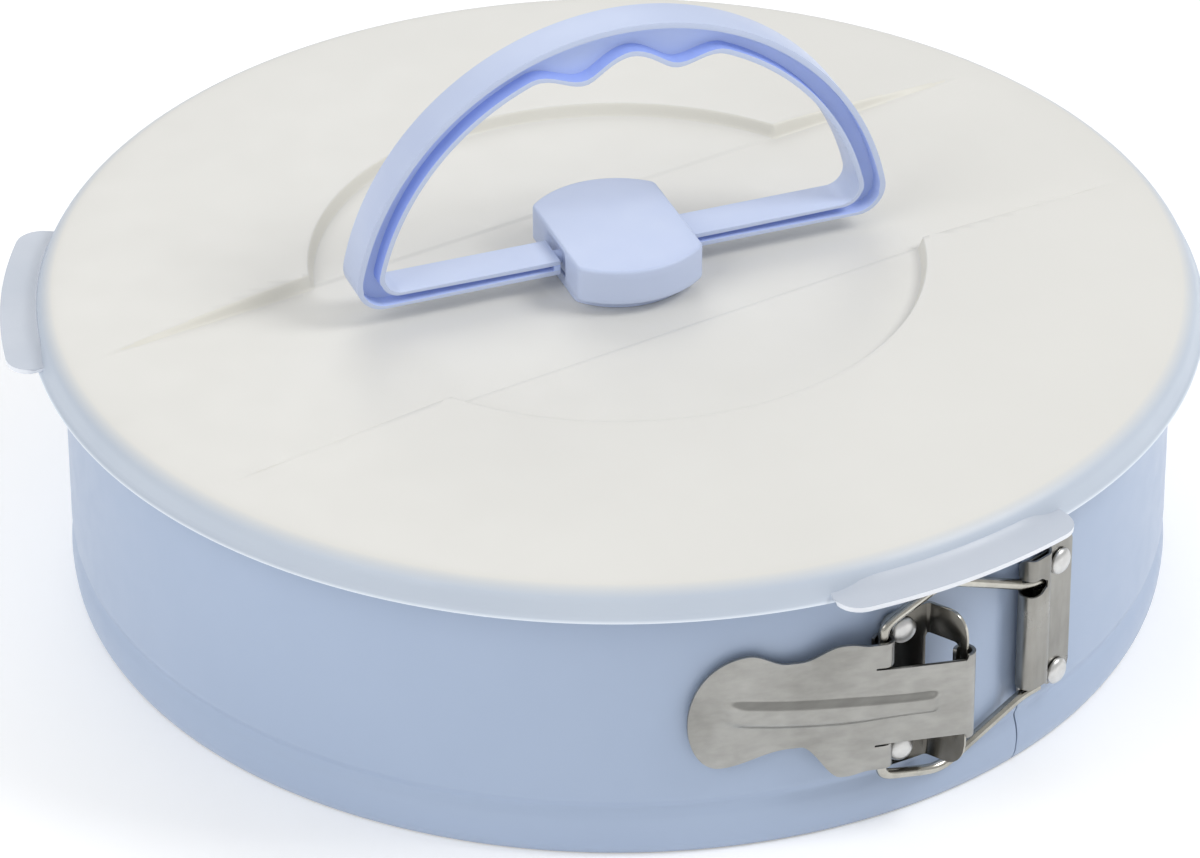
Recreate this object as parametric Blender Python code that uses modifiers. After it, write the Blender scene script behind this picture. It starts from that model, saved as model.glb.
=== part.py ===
"""Springform cake pan with a carry lid.

A loose base plate, a spring-steel ring in two halves that hinge at the back, an over-centre
latch (bracket, lever, wire bail, catch), and a domed lid whose folding handle turns in a hub.

Frame: +Z up, origin under the middle of the base plate on the table, front lid tab towards -Y.
Azimuths are degrees anticlockwise from +X, seen from above.
"""

import math

import bmesh
import bpy
from mathutils import Matrix, Vector

MM = 0.001
GAP = 0.3 * MM

# Ring
WALL_RADIUS = 131.0 * MM
WALL_THICKNESS = 0.5 * MM
RING_HEIGHT = 73.0 * MM
RIM_CURL_RADIUS = 0.8 * MM
BACK_AZIMUTH = 104.8
HINGE_RADIUS = 132.0 * MM
HINGE_GAP = 0.14
SEAM_AZIMUTH = -78.4
LEFT_EDGE_AZIMUTH = -78.6
TONGUE_AZIMUTH = BACK_AZIMUTH - 180.0
JOGGLE_START_AZIMUTH = -82.2
JOGGLE_END_AZIMUTH = -79.6
JOGGLE_DEPTH = 0.9 * MM
TONGUE_LOW = 16.4 * MM
TONGUE_HIGH = 68.4 * MM
RING_STEP = 5.0
# Ring section below the plain wall: how far the sheet stands in from the wall, and its height.
BEAD_SECTION = (
    (1.35 * MM, 0.6 * MM),
    (0.75 * MM, 1.6 * MM),
    (0.05 * MM, 3.6 * MM),
    (-0.25 * MM, 6.8 * MM),
    (0.0 * MM, 9.4 * MM),
    (0.5 * MM, 11.6 * MM),
    (0.85 * MM, 13.0 * MM),
    (0.45 * MM, 14.2 * MM),
    (0.0 * MM, 15.6 * MM),
)

# Base plate
BASE_EDGE_RADIUS = 130.2 * MM
BASE_SHEET = 0.7 * MM
BASE_FLOOR_RADIUS = 121.0 * MM
BASE_SHELF_RADIUS = 125.5 * MM
BASE_SHELF_HEIGHT = 5.2 * MM
BASE_HEM = 1.3 * MM
ROUND_STEPS = 72

# Latch
LATCH_HEIGHT = 36.0 * MM
PIVOT_RADIUS = 140.6 * MM
PIVOT_AZIMUTH = -89.25
LEVER_BAR_RADIUS = 134.8 * MM
LEVER_BAR_AZIMUTH = -96.7
CATCH_BAR_RADIUS = 134.1 * MM
CATCH_BAR_AZIMUTH = -77.7
WIRE_RADIUS = 1.25 * MM
LATCH_SHEET = 0.8 * MM
CURL_RADIUS = 2.2 * MM
CURL_TURN = 255.0
CURL_STEPS = 11

# Latch lever, along its length from the pivot and across it
LEVER_LENGTH = 63.8 * MM
TONGUE_HALF = 11.2 * MM
SLIT_WIDTH = 0.5 * MM
SLIT_END = 20.8 * MM
SHOULDER_HALF = 17.7 * MM
SHOULDER_END = 29.0 * MM
WAIST_FROM = 38.0 * MM
WAIST_TO = 41.0 * MM
WAIST_TOP = 14.6 * MM
WAIST_BOTTOM = -8.2 * MM
THUMB_TOP_AT = 49.8 * MM
THUMB_TOP = 17.8 * MM
THUMB_BOTTOM_AT = 56.5 * MM
THUMB_BOTTOM = -11.4 * MM
TIP_HEIGHT = 1.0 * MM
LEVER_BEAD_HALF = 3.8 * MM
LEVER_BEAD_HEIGHT = 1.2 * MM
LEVER_BEAD_FROM = 6.5 * MM
LEVER_BEAD_TO = 56.0 * MM
LEVER_BEAD_RISE = 3.4 * MM

# Bail: half heights of its arms, by the distance along the bail from the lever's bar
BAIL_ARM = (
    (0.0 * MM, 18.4 * MM),
    (0.7 * MM, 20.0 * MM),
    (2.6 * MM, 21.0 * MM),
    (13.0 * MM, 24.2 * MM),
    (15.5 * MM, 24.8 * MM),
    (18.5 * MM, 24.8 * MM),
    (21.0 * MM, 23.9 * MM),
    (40.6 * MM, 15.1 * MM),
)
BAIL_CATCH_HALF = 14.4 * MM

# Lever bracket
BRACKET_LEFT_AZIMUTH = -96.0
BRACKET_HALF = 20.6 * MM
BRACKET_STANDOFF = 0.3 * MM
BEND_AZIMUTH = -91.2
FLANGE_BEND = 1.4 * MM
FLANGE_STRIP = 1.9 * MM
FLANGE_CORNER = 6.6 * MM
WINDOW_HALF = 12.6 * MM
BRACKET_RIVET_AZIMUTH = -93.9
BRACKET_RIVET_HEIGHTS = (51.8 * MM, 19.8 * MM)

# Catch bracket
CATCH_SHEET = 0.6 * MM
CATCH_RIGHT_AZIMUTH = -71.6
CATCH_FOLD_AZIMUTH = -78.8
CATCH_RAMP_TOP_AZIMUTH = -76.9
CATCH_RAMP_FOOT_AZIMUTH = -75.4
CATCH_COVER_RADIUS = 136.4 * MM
CATCH_LEG_LOW = 18.0 * MM
CATCH_LEG_HIGH = 55.0 * MM
CATCH_COVER_LOW = 23.4 * MM
CATCH_COVER_HIGH = 58.5 * MM
CATCH_SLOT_BELOW = 1.7 * MM
CATCH_SLOT_ABOVE = 2.6 * MM
CATCH_RIVET_AZIMUTH = -73.9
CATCH_RIVET_HEIGHTS = (51.3 * MM, 21.2 * MM)

# Rivets
RIVET_HEAD_RADIUS = 3.25 * MM
RIVET_HEAD_HEIGHT = 1.5 * MM
RIVET_SHANK_RADIUS = 1.4 * MM
RIVET_HOLE_RADIUS = 1.75 * MM
RIVET_TAIL_RADIUS = 2.4 * MM
RIVET_TAIL_HEIGHT = 0.6 * MM
RIVET_STEPS = 16

# Lid
LID_SHEET = 1.3 * MM
LID_CROWN = 81.3 * MM
LID_EDGE_RADIUS = 131.0 * MM
LID_EDGE_HEIGHT = 75.8 * MM
LID_RADIUS = 138.6 * MM
LID_LOWEST = 68.5 * MM
LID_BAND_FLOOR = 76.2 * MM
LID_CIRCLE_FLOOR = 76.6 * MM
LID_BAND_HALF = 32.0 * MM
LID_CIRCLE_RADIUS = 73.0 * MM
LID_HOLE_RADIUS = 7.4 * MM
LID_SEAT = (126.5 * MM, 133.2 * MM)
TAB_AZIMUTHS = (-89.7, 148.9)
TAB_HALF_ANGLE = 13.0
TAB_RADIUS = 145.4 * MM
TAB_ROOT_RADIUS = 137.9 * MM
TAB_LOWEST = 69.0 * MM
TAB_THICKNESS = 1.4 * MM
TAB_CORNER = 5.0 * MM
TAB_CORNER_ANGLE = 2.4

# Hub
HUB_AZIMUTH = -11.7
HUB_RADIUS = 22.0 * MM
HUB_FLAT = 15.6 * MM
HUB_CORNER = 2.5 * MM
HUB_LOW = 79.4 * MM
HUB_HIGH = 88.3 * MM
HUB_EDGE = 0.6 * MM
FOOT_RADIUS = 18.2 * MM
FOOT_FLAT = 14.6 * MM
FOOT_LOW = 76.5 * MM
STEM_RADIUS = 7.1 * MM
STEM_LOW = 74.5 * MM
SCREW_RADIUS = 1.9 * MM
SCREW_HEAD_RADIUS = 4.2 * MM
SCREW_HEAD_HEIGHT = 1.7 * MM
SCREW_TOP = 85.6 * MM
WASHER_RADIUS = 11.0 * MM
WASHER_HEIGHT = 1.5 * MM

# Handle, in its own plane: across from the hub's axis and up from the table
HANDLE_WIDTH = 10.0 * MM
HANDLE_LIP = 1.3 * MM
HANDLE_WEB = 2.2 * MM
HANDLE_CENTRE = 76.0 * MM
HANDLE_RADIUS = 67.5 * MM
HANDLE_INNER_RADIUS = 61.0 * MM
HANDLE_CORNER = 7.0 * MM
HANDLE_INNER_CORNER = 4.5 * MM
BAR_LOW = 80.9 * MM
BAR_HIGH = 84.5 * MM
BAR_END = 16.1 * MM
STUB_RADIUS = 1.6 * MM
STUB_END = 9.0 * MM
FINGER_BUMPS = ((-9.8, 12.0, 6.0 * MM), (13.0, 11.3, 5.1 * MM), (2.0, 9.0, 1.4 * MM))
ARC_STEP = 4.0

BLUE = ((0.43, 0.50, 0.66), 0.35, 0.0)
STEEL = ((0.46, 0.46, 0.42), 0.3, 1.0)
PALE_STEEL = ((0.75, 0.75, 0.73), 0.35, 1.0)
COATING = ((0.80, 0.74, 0.62), 0.4, 0.0)
FROSTED = ((0.80, 0.80, 0.78), 0.45, 0.0)
BLUE_PLASTIC = ((0.58, 0.67, 0.88), 0.45, 0.0)


def polar(radius, azimuth, height=0.0):
    """The point at this radius and azimuth (degrees) around the pan's axis."""
    angle = math.radians(azimuth)
    return Vector((radius * math.cos(angle), radius * math.sin(angle), height))


PIVOT = polar(PIVOT_RADIUS, PIVOT_AZIMUTH)
LEVER_BAR = polar(LEVER_BAR_RADIUS, LEVER_BAR_AZIMUTH)
CATCH_BAR = polar(CATCH_BAR_RADIUS, CATCH_BAR_AZIMUTH)
HINGE = polar(HINGE_RADIUS, BACK_AZIMUTH)
HANDLE_AXIS_HEIGHT = (BAR_LOW + BAR_HIGH) / 2


def smooth(value, start, end):
    """0 before start, 1 after end, and an S-curve between them."""
    t = min(max((value - start) / (end - start), 0.0), 1.0)
    return t * t * (3 - 2 * t)


def steps_between(start, end, longest):
    """Evenly spaced values from start to end, no further apart than longest."""
    count = max(1, math.ceil(abs(end - start) / longest - 1e-9))
    return [start + (end - start) * i / count for i in range(count + 1)]


def clear_scene():
    for obj in list(bpy.data.objects):
        bpy.data.objects.remove(obj, do_unlink=True)


def new_collection(name):
    collection = bpy.data.collections.new(name)
    bpy.context.scene.collection.children.link(collection)
    return collection


def new_material(name, finish):
    colour, roughness, metallic = finish
    material = bpy.data.materials.new(name)
    material.use_nodes = True
    shader = material.node_tree.nodes["Principled BSDF"]
    shader.inputs["Base Color"].default_value = (*colour, 1.0)
    shader.inputs["Roughness"].default_value = roughness
    shader.inputs["Metallic"].default_value = metallic
    return material


def new_part(name, mesh, finish, origin=Vector()):
    """An object of the pan from a mesh in pan coordinates, with its own origin and material."""
    mesh.transform(Matrix.Translation(-origin))
    mesh.shade_smooth()
    mesh.set_sharp_from_angle(angle=math.radians(35))
    mesh.materials.clear()
    mesh.materials.append(new_material(name, finish))
    obj = bpy.data.objects.new(name, mesh)
    obj.location = origin
    PAN.objects.link(obj)
    return obj


def new_cutter(name, mesh):
    obj = bpy.data.objects.new(name, mesh)
    obj.hide_render = True
    obj.display_type = "WIRE"
    CUTTERS.objects.link(obj)
    return obj


def combine(obj, other, operation):
    modifier = obj.modifiers.new(f"{operation.lower()} {other.name}", "BOOLEAN")
    modifier.operation = operation
    modifier.solver = "EXACT"
    modifier.object = other


def solidify(obj, thickness):
    modifier = obj.modifiers.new("sheet", "SOLIDIFY")
    modifier.thickness = thickness
    modifier.offset = 0
    modifier.use_even_offset = True


def sheet_mesh(name, grids):
    """A surface from grids of points; each grid is a list of columns, and None leaves a hole."""
    mesh = bpy.data.meshes.new(name)
    bm = bmesh.new()
    for columns in grids:
        rows = [[point and bm.verts.new(point) for point in column] for column in columns]
        for left, right in zip(rows, rows[1:]):
            for i in range(len(left) - 1):
                corners = (left[i], right[i], right[i + 1], left[i + 1])
                if all(corners):
                    bm.faces.new(corners)
    loose = [vert for vert in bm.verts if not vert.link_faces]
    bmesh.ops.delete(bm, geom=loose, context="VERTS")
    bmesh.ops.remove_doubles(bm, verts=bm.verts, dist=0.001 * MM)
    bmesh.ops.recalc_face_normals(bm, faces=bm.faces)
    bm.to_mesh(mesh)
    bm.free()
    return mesh


def screw(obj, steps):
    """Turns the object's profile once around the pan's axis."""
    modifier = obj.modifiers.new("turn", "SCREW")
    modifier.axis = "Z"
    modifier.steps = steps
    modifier.render_steps = steps
    modifier.use_merge_vertices = True
    modifier.merge_threshold = 0.01 * MM


def profile_mesh(name, points, closed=False):
    """A profile of (radius, height) points, for turning."""
    mesh = bpy.data.meshes.new(name)
    edges = [(i, i + 1) for i in range(len(points) - 1)]
    if closed:
        edges.append((len(points) - 1, 0))
    mesh.from_pydata([(radius, 0, height) for radius, height in points], edges, [])
    return mesh


def mesh_of_curve(curve):
    """A closed mesh from a curve's shape."""
    obj = bpy.data.objects.new(curve.name, curve)
    bpy.context.scene.collection.objects.link(obj)
    graph = bpy.context.evaluated_depsgraph_get()
    mesh = bpy.data.meshes.new_from_object(obj.evaluated_get(graph))
    bpy.data.objects.remove(obj)
    bm = bmesh.new()
    bm.from_mesh(mesh)
    bmesh.ops.remove_doubles(bm, verts=bm.verts, dist=0.001 * MM)
    bm.to_mesh(mesh)
    bm.free()
    return mesh


def prism_mesh(name, outline, low, high):
    """A flat outline of (x, y) points, extruded from low to high along Z."""
    curve = bpy.data.curves.new(name, "CURVE")
    curve.dimensions = "2D"
    curve.fill_mode = "BOTH"
    curve.extrude = (high - low) / 2
    spline = curve.splines.new("POLY")
    spline.points.add(len(outline) - 1)
    for point, (x, y) in zip(spline.points, outline):
        point.co = (x, y, 0, 1)
    spline.use_cyclic_u = True
    mesh = mesh_of_curve(curve)
    mesh.transform(Matrix.Translation((0, 0, (low + high) / 2)))
    return mesh


def wire_mesh(name, points):
    """A round wire along these points, with filled ends."""
    curve = bpy.data.curves.new(name, "CURVE")
    curve.dimensions = "3D"
    curve.bevel_depth = WIRE_RADIUS
    curve.bevel_resolution = 2
    curve.use_fill_caps = True
    spline = curve.splines.new("POLY")
    spline.points.add(len(points) - 1)
    for target, point in zip(spline.points, points):
        target.co = (*point, 1)
    return mesh_of_curve(curve)


def cylinder_mesh(name, radius, start, end, steps):
    """A cylinder from start to end."""
    mesh = bpy.data.meshes.new(name)
    bm = bmesh.new()
    axis = end - start
    turn = axis.to_track_quat("Z", "Y").to_matrix().to_4x4()
    bmesh.ops.create_cone(
        bm, cap_ends=True, segments=steps, radius1=radius, radius2=radius, depth=axis.length,
        matrix=Matrix.Translation((start + end) / 2) @ turn,
    )
    bm.to_mesh(mesh)
    bm.free()
    return mesh


def box_mesh(name, low, high):
    mesh = bpy.data.meshes.new(name)
    bm = bmesh.new()
    size = Vector(high) - Vector(low)
    centre = (Vector(high) + Vector(low)) / 2
    bmesh.ops.create_cube(bm, size=1, matrix=Matrix.LocRotScale(centre, None, size))
    bm.to_mesh(mesh)
    bm.free()
    return mesh


def joined(name, meshes):
    """One mesh that holds several separate closed shapes."""
    mesh = bpy.data.meshes.new(name)
    bm = bmesh.new()
    for shape in meshes:
        bm.from_mesh(shape)
    bm.to_mesh(mesh)
    bm.free()
    return mesh


# --- base plate and ring ---


def make_base_plate():
    """A pressed disc: a flat floor on the table, and a raised hemmed edge held by the ring."""
    top = BASE_SHELF_HEIGHT + BASE_HEM
    edge = BASE_EDGE_RADIUS
    hem = BASE_SHELF_RADIUS + 2 * BASE_SHEET
    profile = (
        (0, BASE_SHEET),
        (BASE_FLOOR_RADIUS - BASE_SHEET, BASE_SHEET),
        (BASE_SHELF_RADIUS - BASE_SHEET, BASE_SHELF_HEIGHT + BASE_SHEET),
        (hem, BASE_SHELF_HEIGHT + BASE_SHEET),
        (hem + BASE_SHEET, top),
        (edge - BASE_SHEET / 2, top),
        (edge, top - BASE_SHEET / 2),
        (edge, BASE_SHELF_HEIGHT),
        (BASE_SHELF_RADIUS, BASE_SHELF_HEIGHT),
        (BASE_FLOOR_RADIUS, 0),
        (0, 0),
    )
    obj = new_part("base_plate", profile_mesh("base_plate", profile), COATING)
    screw(obj, ROUND_STEPS)


def ring_section():
    """The ring's section, bottom to top, as (radius, height) of the middle of the sheet."""
    middle = WALL_RADIUS - WALL_THICKNESS / 2
    section = [(middle - inset, height) for inset, height in BEAD_SECTION]
    curl_height = RING_HEIGHT - RIM_CURL_RADIUS - WALL_THICKNESS / 2
    section += [(middle, TONGUE_LOW), (middle, TONGUE_HIGH)]
    for angle in range(180, -91, -54):
        turn = math.radians(angle)
        radius = middle + RIM_CURL_RADIUS * (1 + math.cos(turn))
        section.append((radius, curl_height + RIM_CURL_RADIUS * math.sin(turn)))
    return section


def joggle(azimuth, height):
    """How far the left half's end is pressed in, to slide under the right half."""
    along = smooth(azimuth, JOGGLE_START_AZIMUTH, JOGGLE_END_AZIMUTH)
    return JOGGLE_DEPTH * along if TONGUE_LOW <= height <= TONGUE_HIGH else 0.0


def ring_column(azimuth, section, pressed=False):
    column = []
    for radius, height in section:
        inset = joggle(azimuth, height) if pressed else 0.0
        column.append(polar(radius - inset, azimuth, height))
    return column


def make_ring_band_left(holes):
    """The left half of the ring, with a tongue under the right half's end."""
    section = ring_section()
    azimuths = steps_between(BACK_AZIMUTH + HINGE_GAP - 360, JOGGLE_START_AZIMUTH, RING_STEP)
    azimuths += steps_between(JOGGLE_START_AZIMUTH, LEFT_EDGE_AZIMUTH, 0.8)[1:]
    band = [ring_column(azimuth, section, pressed=True) for azimuth in azimuths]
    plain = [point for point in section if point[1] in (TONGUE_LOW, TONGUE_HIGH)]
    tongue_azimuths = steps_between(LEFT_EDGE_AZIMUTH, TONGUE_AZIMUTH, 1.4)
    tongue = [ring_column(azimuth, plain, pressed=True) for azimuth in tongue_azimuths]
    mesh = sheet_mesh("ring_band_left", [band, tongue])
    obj = new_part("ring_band_left", mesh, BLUE, HINGE)
    solidify(obj, WALL_THICKNESS)
    combine(obj, holes, "DIFFERENCE")


def make_ring_band_right(holes):
    """The right half of the ring; its front end lies over the left half's tongue."""
    section = ring_section()
    azimuths = steps_between(SEAM_AZIMUTH, BACK_AZIMUTH - HINGE_GAP, RING_STEP)
    mesh = sheet_mesh("ring_band_right", [[ring_column(azimuth, section) for azimuth in azimuths]])
    obj = new_part("ring_band_right", mesh, BLUE, HINGE)
    solidify(obj, WALL_THICKNESS)
    combine(obj, holes, "DIFFERENCE")


# --- rivets ---


def rivet_holes(name, azimuth, heights):
    """A cutter through the wall and plates for both rivets at this azimuth."""
    inner = WALL_RADIUS - 3 * MM
    outer = WALL_RADIUS + 4 * MM
    shapes = []
    for height in heights:
        start = polar(inner, azimuth, height)
        end = polar(outer, azimuth, height)
        shapes.append(cylinder_mesh(name, RIVET_HOLE_RADIUS, start, end, RIVET_STEPS))
    return new_cutter(name, joined(name, shapes))


def make_rivet(name, azimuth, height, seat_radius):
    """A rivet with a low domed head on the plate and a flat tail inside the wall."""
    seat = seat_radius + GAP
    tail = WALL_RADIUS - WALL_THICKNESS - GAP
    dome = seat + RIVET_HEAD_HEIGHT
    profile = (
        (0, dome),
        (RIVET_HEAD_RADIUS * 0.62, dome - RIVET_HEAD_HEIGHT * 0.16),
        (RIVET_HEAD_RADIUS * 0.92, dome - RIVET_HEAD_HEIGHT * 0.5),
        (RIVET_HEAD_RADIUS, seat + RIVET_HEAD_HEIGHT * 0.2),
        (RIVET_HEAD_RADIUS, seat),
        (RIVET_SHANK_RADIUS, seat),
        (RIVET_SHANK_RADIUS, tail),
        (RIVET_TAIL_RADIUS, tail),
        (RIVET_TAIL_RADIUS, tail - RIVET_TAIL_HEIGHT),
        (0, tail - RIVET_TAIL_HEIGHT),
    )
    obj = new_part(name, profile_mesh(name, profile), PALE_STEEL)
    screw(obj, RIVET_STEPS)
    outward = polar(1, azimuth).to_track_quat("Z", "Y").to_matrix().to_4x4()
    obj.matrix_world = Matrix.Translation((0, 0, height)) @ outward


def make_rivets():
    bracket_seat = WALL_RADIUS + BRACKET_STANDOFF + LATCH_SHEET
    catch_seat = WALL_RADIUS + 2 * (GAP + CATCH_SHEET)
    rows = (
        ("lever_bracket_rivet", BRACKET_RIVET_AZIMUTH, BRACKET_RIVET_HEIGHTS, bracket_seat),
        ("catch_rivet", CATCH_RIVET_AZIMUTH, CATCH_RIVET_HEIGHTS, catch_seat),
    )
    for name, azimuth, (upper, lower), seat in rows:
        make_rivet(f"{name}_upper", azimuth, upper, seat)
        make_rivet(f"{name}_lower", azimuth, lower, seat)


# --- latch ---


def make_lever_bracket(holes):
    """An L of sheet: a plate on the wall and a windowed flange whose outer strip is the hinge."""
    wall_middle = WALL_RADIUS + BRACKET_STANDOFF + LATCH_SHEET / 2
    path = []
    for azimuth in steps_between(BRACKET_LEFT_AZIMUTH, BEND_AZIMUTH, 1.5):
        inset = 2.0 * MM * (1 - smooth(azimuth, BRACKET_LEFT_AZIMUTH - 0.5, BRACKET_LEFT_AZIMUTH + 1.5))
        path.append((polar(wall_middle, azimuth), BRACKET_HALF - inset))
    window_start = len(path) - 1
    outward = polar(1, BEND_AZIMUTH)
    centre = outward * (wall_middle + FLANGE_BEND)
    reach = PIVOT - centre
    lean = math.asin(FLANGE_BEND / reach.length)
    flange = (Matrix.Rotation(-lean, 4, "Z") @ reach).normalized()
    length = reach.length * math.cos(lean)
    bend = outward.angle(Matrix.Rotation(math.radians(-90), 4, "Z") @ flange)
    for part in (0.5, 1.0):
        point = centre - Matrix.Rotation(-part * bend, 4, "Z") @ (outward * FLANGE_BEND)
        path.append((point, BRACKET_HALF))
    root = PIVOT - flange * length
    strip_in = length - FLANGE_STRIP / 2
    strip_out = length + FLANGE_STRIP / 2
    stations = [strip_in * part for part in (0.45, 0.7, 0.86)] + [strip_in, length, strip_out]
    window_end = len(path) + stations.index(strip_in)
    for distance in stations:
        share = max(0.0, 2 * distance / strip_out - 1)
        corner = FLANGE_CORNER * (1 - math.sqrt(max(1 - share * share, 0.0)))
        path.append((root + flange * distance, BRACKET_HALF - corner))
    columns = []
    for point, half in path:
        heights = (-half, -WINDOW_HALF, 0, WINDOW_HALF, half)
        columns.append([point + Vector((0, 0, LATCH_HEIGHT + height)) for height in heights])
    split = [columns[: window_start + 1], columns[window_end:]]
    above = [column[3:] for column in columns[window_start : window_end + 1]]
    below = [column[:2] for column in columns[window_start : window_end + 1]]
    mesh = sheet_mesh("lever_bracket", [*split, above, below])
    obj = new_part("lever_bracket", mesh, STEEL)
    solidify(obj, LATCH_SHEET)
    combine(obj, holes, "DIFFERENCE")


def lever_edge(along, waist, thumb_at, thumb, side):
    """One long edge of the lever, above or below its centre line: shoulder, waist and thumb."""
    shoulder = side * SHOULDER_HALF
    if along > thumb_at:
        reach = (along - thumb_at) / (LEVER_LENGTH - thumb_at)
        return TIP_HEIGHT + (thumb - TIP_HEIGHT) * math.sqrt(max(1 - reach * reach, 0.01))
    edge = shoulder + (waist - shoulder) * smooth(along, SHOULDER_END, WAIST_FROM)
    return edge + (thumb - waist) * smooth(along, WAIST_TO, thumb_at)


def lever_edges(along):
    top = lever_edge(along, WAIST_TOP, THUMB_TOP_AT, THUMB_TOP, 1)
    bottom = lever_edge(along, WAIST_BOTTOM, THUMB_BOTTOM_AT, THUMB_BOTTOM, -1)
    return top, bottom


def lever_rows():
    """Heights of the lever's rows at its shoulder, from its centre line."""
    tab = TONGUE_HALF + SLIT_WIDTH
    middle = (tab + SHOULDER_HALF) / 2
    bead = LEVER_BEAD_HALF
    upper = [bead * 0.3, bead * 0.72, bead, TONGUE_HALF, tab, middle, SHOULDER_HALF]
    return [-row for row in reversed(upper)] + [0.0] + upper


def lever_row_height(along, row):
    """The height of a row: the bead keeps its width, and the rest follows the outline."""
    top, bottom = lever_edges(along)
    beyond = min(max((along - SLIT_END) / (LEVER_BEAD_TO - SLIT_END), 0.0), 1.0)
    centre = LEVER_BEAD_RISE * beyond * beyond
    centre += (TIP_HEIGHT - LEVER_BEAD_RISE) * smooth(along, LEVER_BEAD_TO, LEVER_LENGTH)
    edge = top if row > 0 else bottom
    bead = math.copysign(min(LEVER_BEAD_HALF, abs(edge - centre) * 0.6), row)
    if abs(row) <= LEVER_BEAD_HALF:
        return LATCH_HEIGHT + centre + bead * abs(row) / LEVER_BEAD_HALF
    share = (abs(row) - LEVER_BEAD_HALF) / (SHOULDER_HALF - LEVER_BEAD_HALF)
    return LATCH_HEIGHT + (centre + bead) * (1 - share) + edge * share


def lever_bead(along, row):
    """How far the pressed bead stands out of the lever's face here."""
    across = max(0.0, 1 - (row / LEVER_BEAD_HALF) ** 2)
    ends = smooth(along, LEVER_BEAD_FROM, LEVER_BEAD_FROM + 3 * MM)
    ends *= 1 - smooth(along, LEVER_BEAD_TO - 4 * MM, LEVER_BEAD_TO)
    return LEVER_BEAD_HEIGHT * across * ends


def curl_column(centre, inward, towards_pivot, turn, heights):
    """A column of the sheet rolled around a bar: turn is degrees past the face's tangent line."""
    angle = math.radians(turn)
    offset = -inward * math.cos(angle) + towards_pivot * math.sin(angle)
    return [centre + offset * CURL_RADIUS + Vector((0, 0, height)) for height in heights]


def make_latch_lever():
    """A stamped lever: its tongue is rolled around the bracket's strip, its tabs around the bail."""
    towards_pivot = (PIVOT - LEVER_BAR).normalized()
    inward = Vector((-towards_pivot.y, towards_pivot.x, 0))
    face = PIVOT - inward * CURL_RADIUS
    bar_along = (PIVOT - LEVER_BAR).length

    def face_column(along, rows):
        column = []
        for row in rows:
            point = face - towards_pivot * along - inward * lever_bead(along, row)
            column.append(point + Vector((0, 0, lever_row_height(along, row))))
        return column

    rows = lever_rows()
    tongue_rows = [row for row in rows if abs(row) <= TONGUE_HALF]
    tab_rows = [row for row in rows if row > TONGUE_HALF]
    body_along = steps_between(SLIT_END, THUMB_BOTTOM_AT, 3.2 * MM)
    reach = LEVER_LENGTH - THUMB_BOTTOM_AT
    body_along += [THUMB_BOTTOM_AT + reach * math.sin(math.radians(angle)) for angle in range(15, 86, 14)]
    body = [face_column(along, rows) for along in reversed(body_along)]
    tongue = [face_column(along, tongue_rows) for along in steps_between(SLIT_END, 0, 2.6 * MM)]
    heights = [LATCH_HEIGHT + row for row in tongue_rows]
    turns = [CURL_TURN * i / CURL_STEPS for i in range(1, CURL_STEPS + 1)]
    tongue += [curl_column(PIVOT, inward, towards_pivot, turn, heights) for turn in turns]
    grids = [body, tongue]
    for side in (-1, 1):
        side_rows = sorted(side * row for row in tab_rows)
        tab = [face_column(along, side_rows) for along in (SLIT_END, bar_along)]
        heights = [LATCH_HEIGHT + row for row in side_rows]
        tab += [curl_column(LEVER_BAR, inward, towards_pivot, turn, heights) for turn in turns]
        grids.append(tab)
    obj = new_part("latch_lever", sheet_mesh("latch_lever", grids), STEEL, PIVOT)
    solidify(obj, LATCH_SHEET)


def make_bail():
    """The wire link: up through the lever's tabs and along above and below the bracket.

    The wire's far side, inside the catch, is a separate piece, because the linkage opens there.
    """
    along = (CATCH_BAR - LEVER_BAR).normalized()
    arm = [(distance, half) for distance, half in BAIL_ARM]
    arm.append(((CATCH_BAR - LEVER_BAR).length + WIRE_RADIUS, BAIL_CATCH_HALF))
    upper = [LEVER_BAR + along * distance + Vector((0, 0, LATCH_HEIGHT + half)) for distance, half in arm]
    lower = [LEVER_BAR + along * distance + Vector((0, 0, LATCH_HEIGHT - half)) for distance, half in arm]
    mesh = wire_mesh("bail_wire", list(reversed(upper)) + lower)
    new_part("bail_wire", mesh, STEEL, LEVER_BAR)
    reach = BAIL_CATCH_HALF - WIRE_RADIUS - GAP
    ends = [CATCH_BAR + Vector((0, 0, LATCH_HEIGHT + height)) for height in (-reach, reach)]
    new_part("bail_catch_bar", wire_mesh("bail_catch_bar", ends), STEEL, CATCH_BAR)


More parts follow.
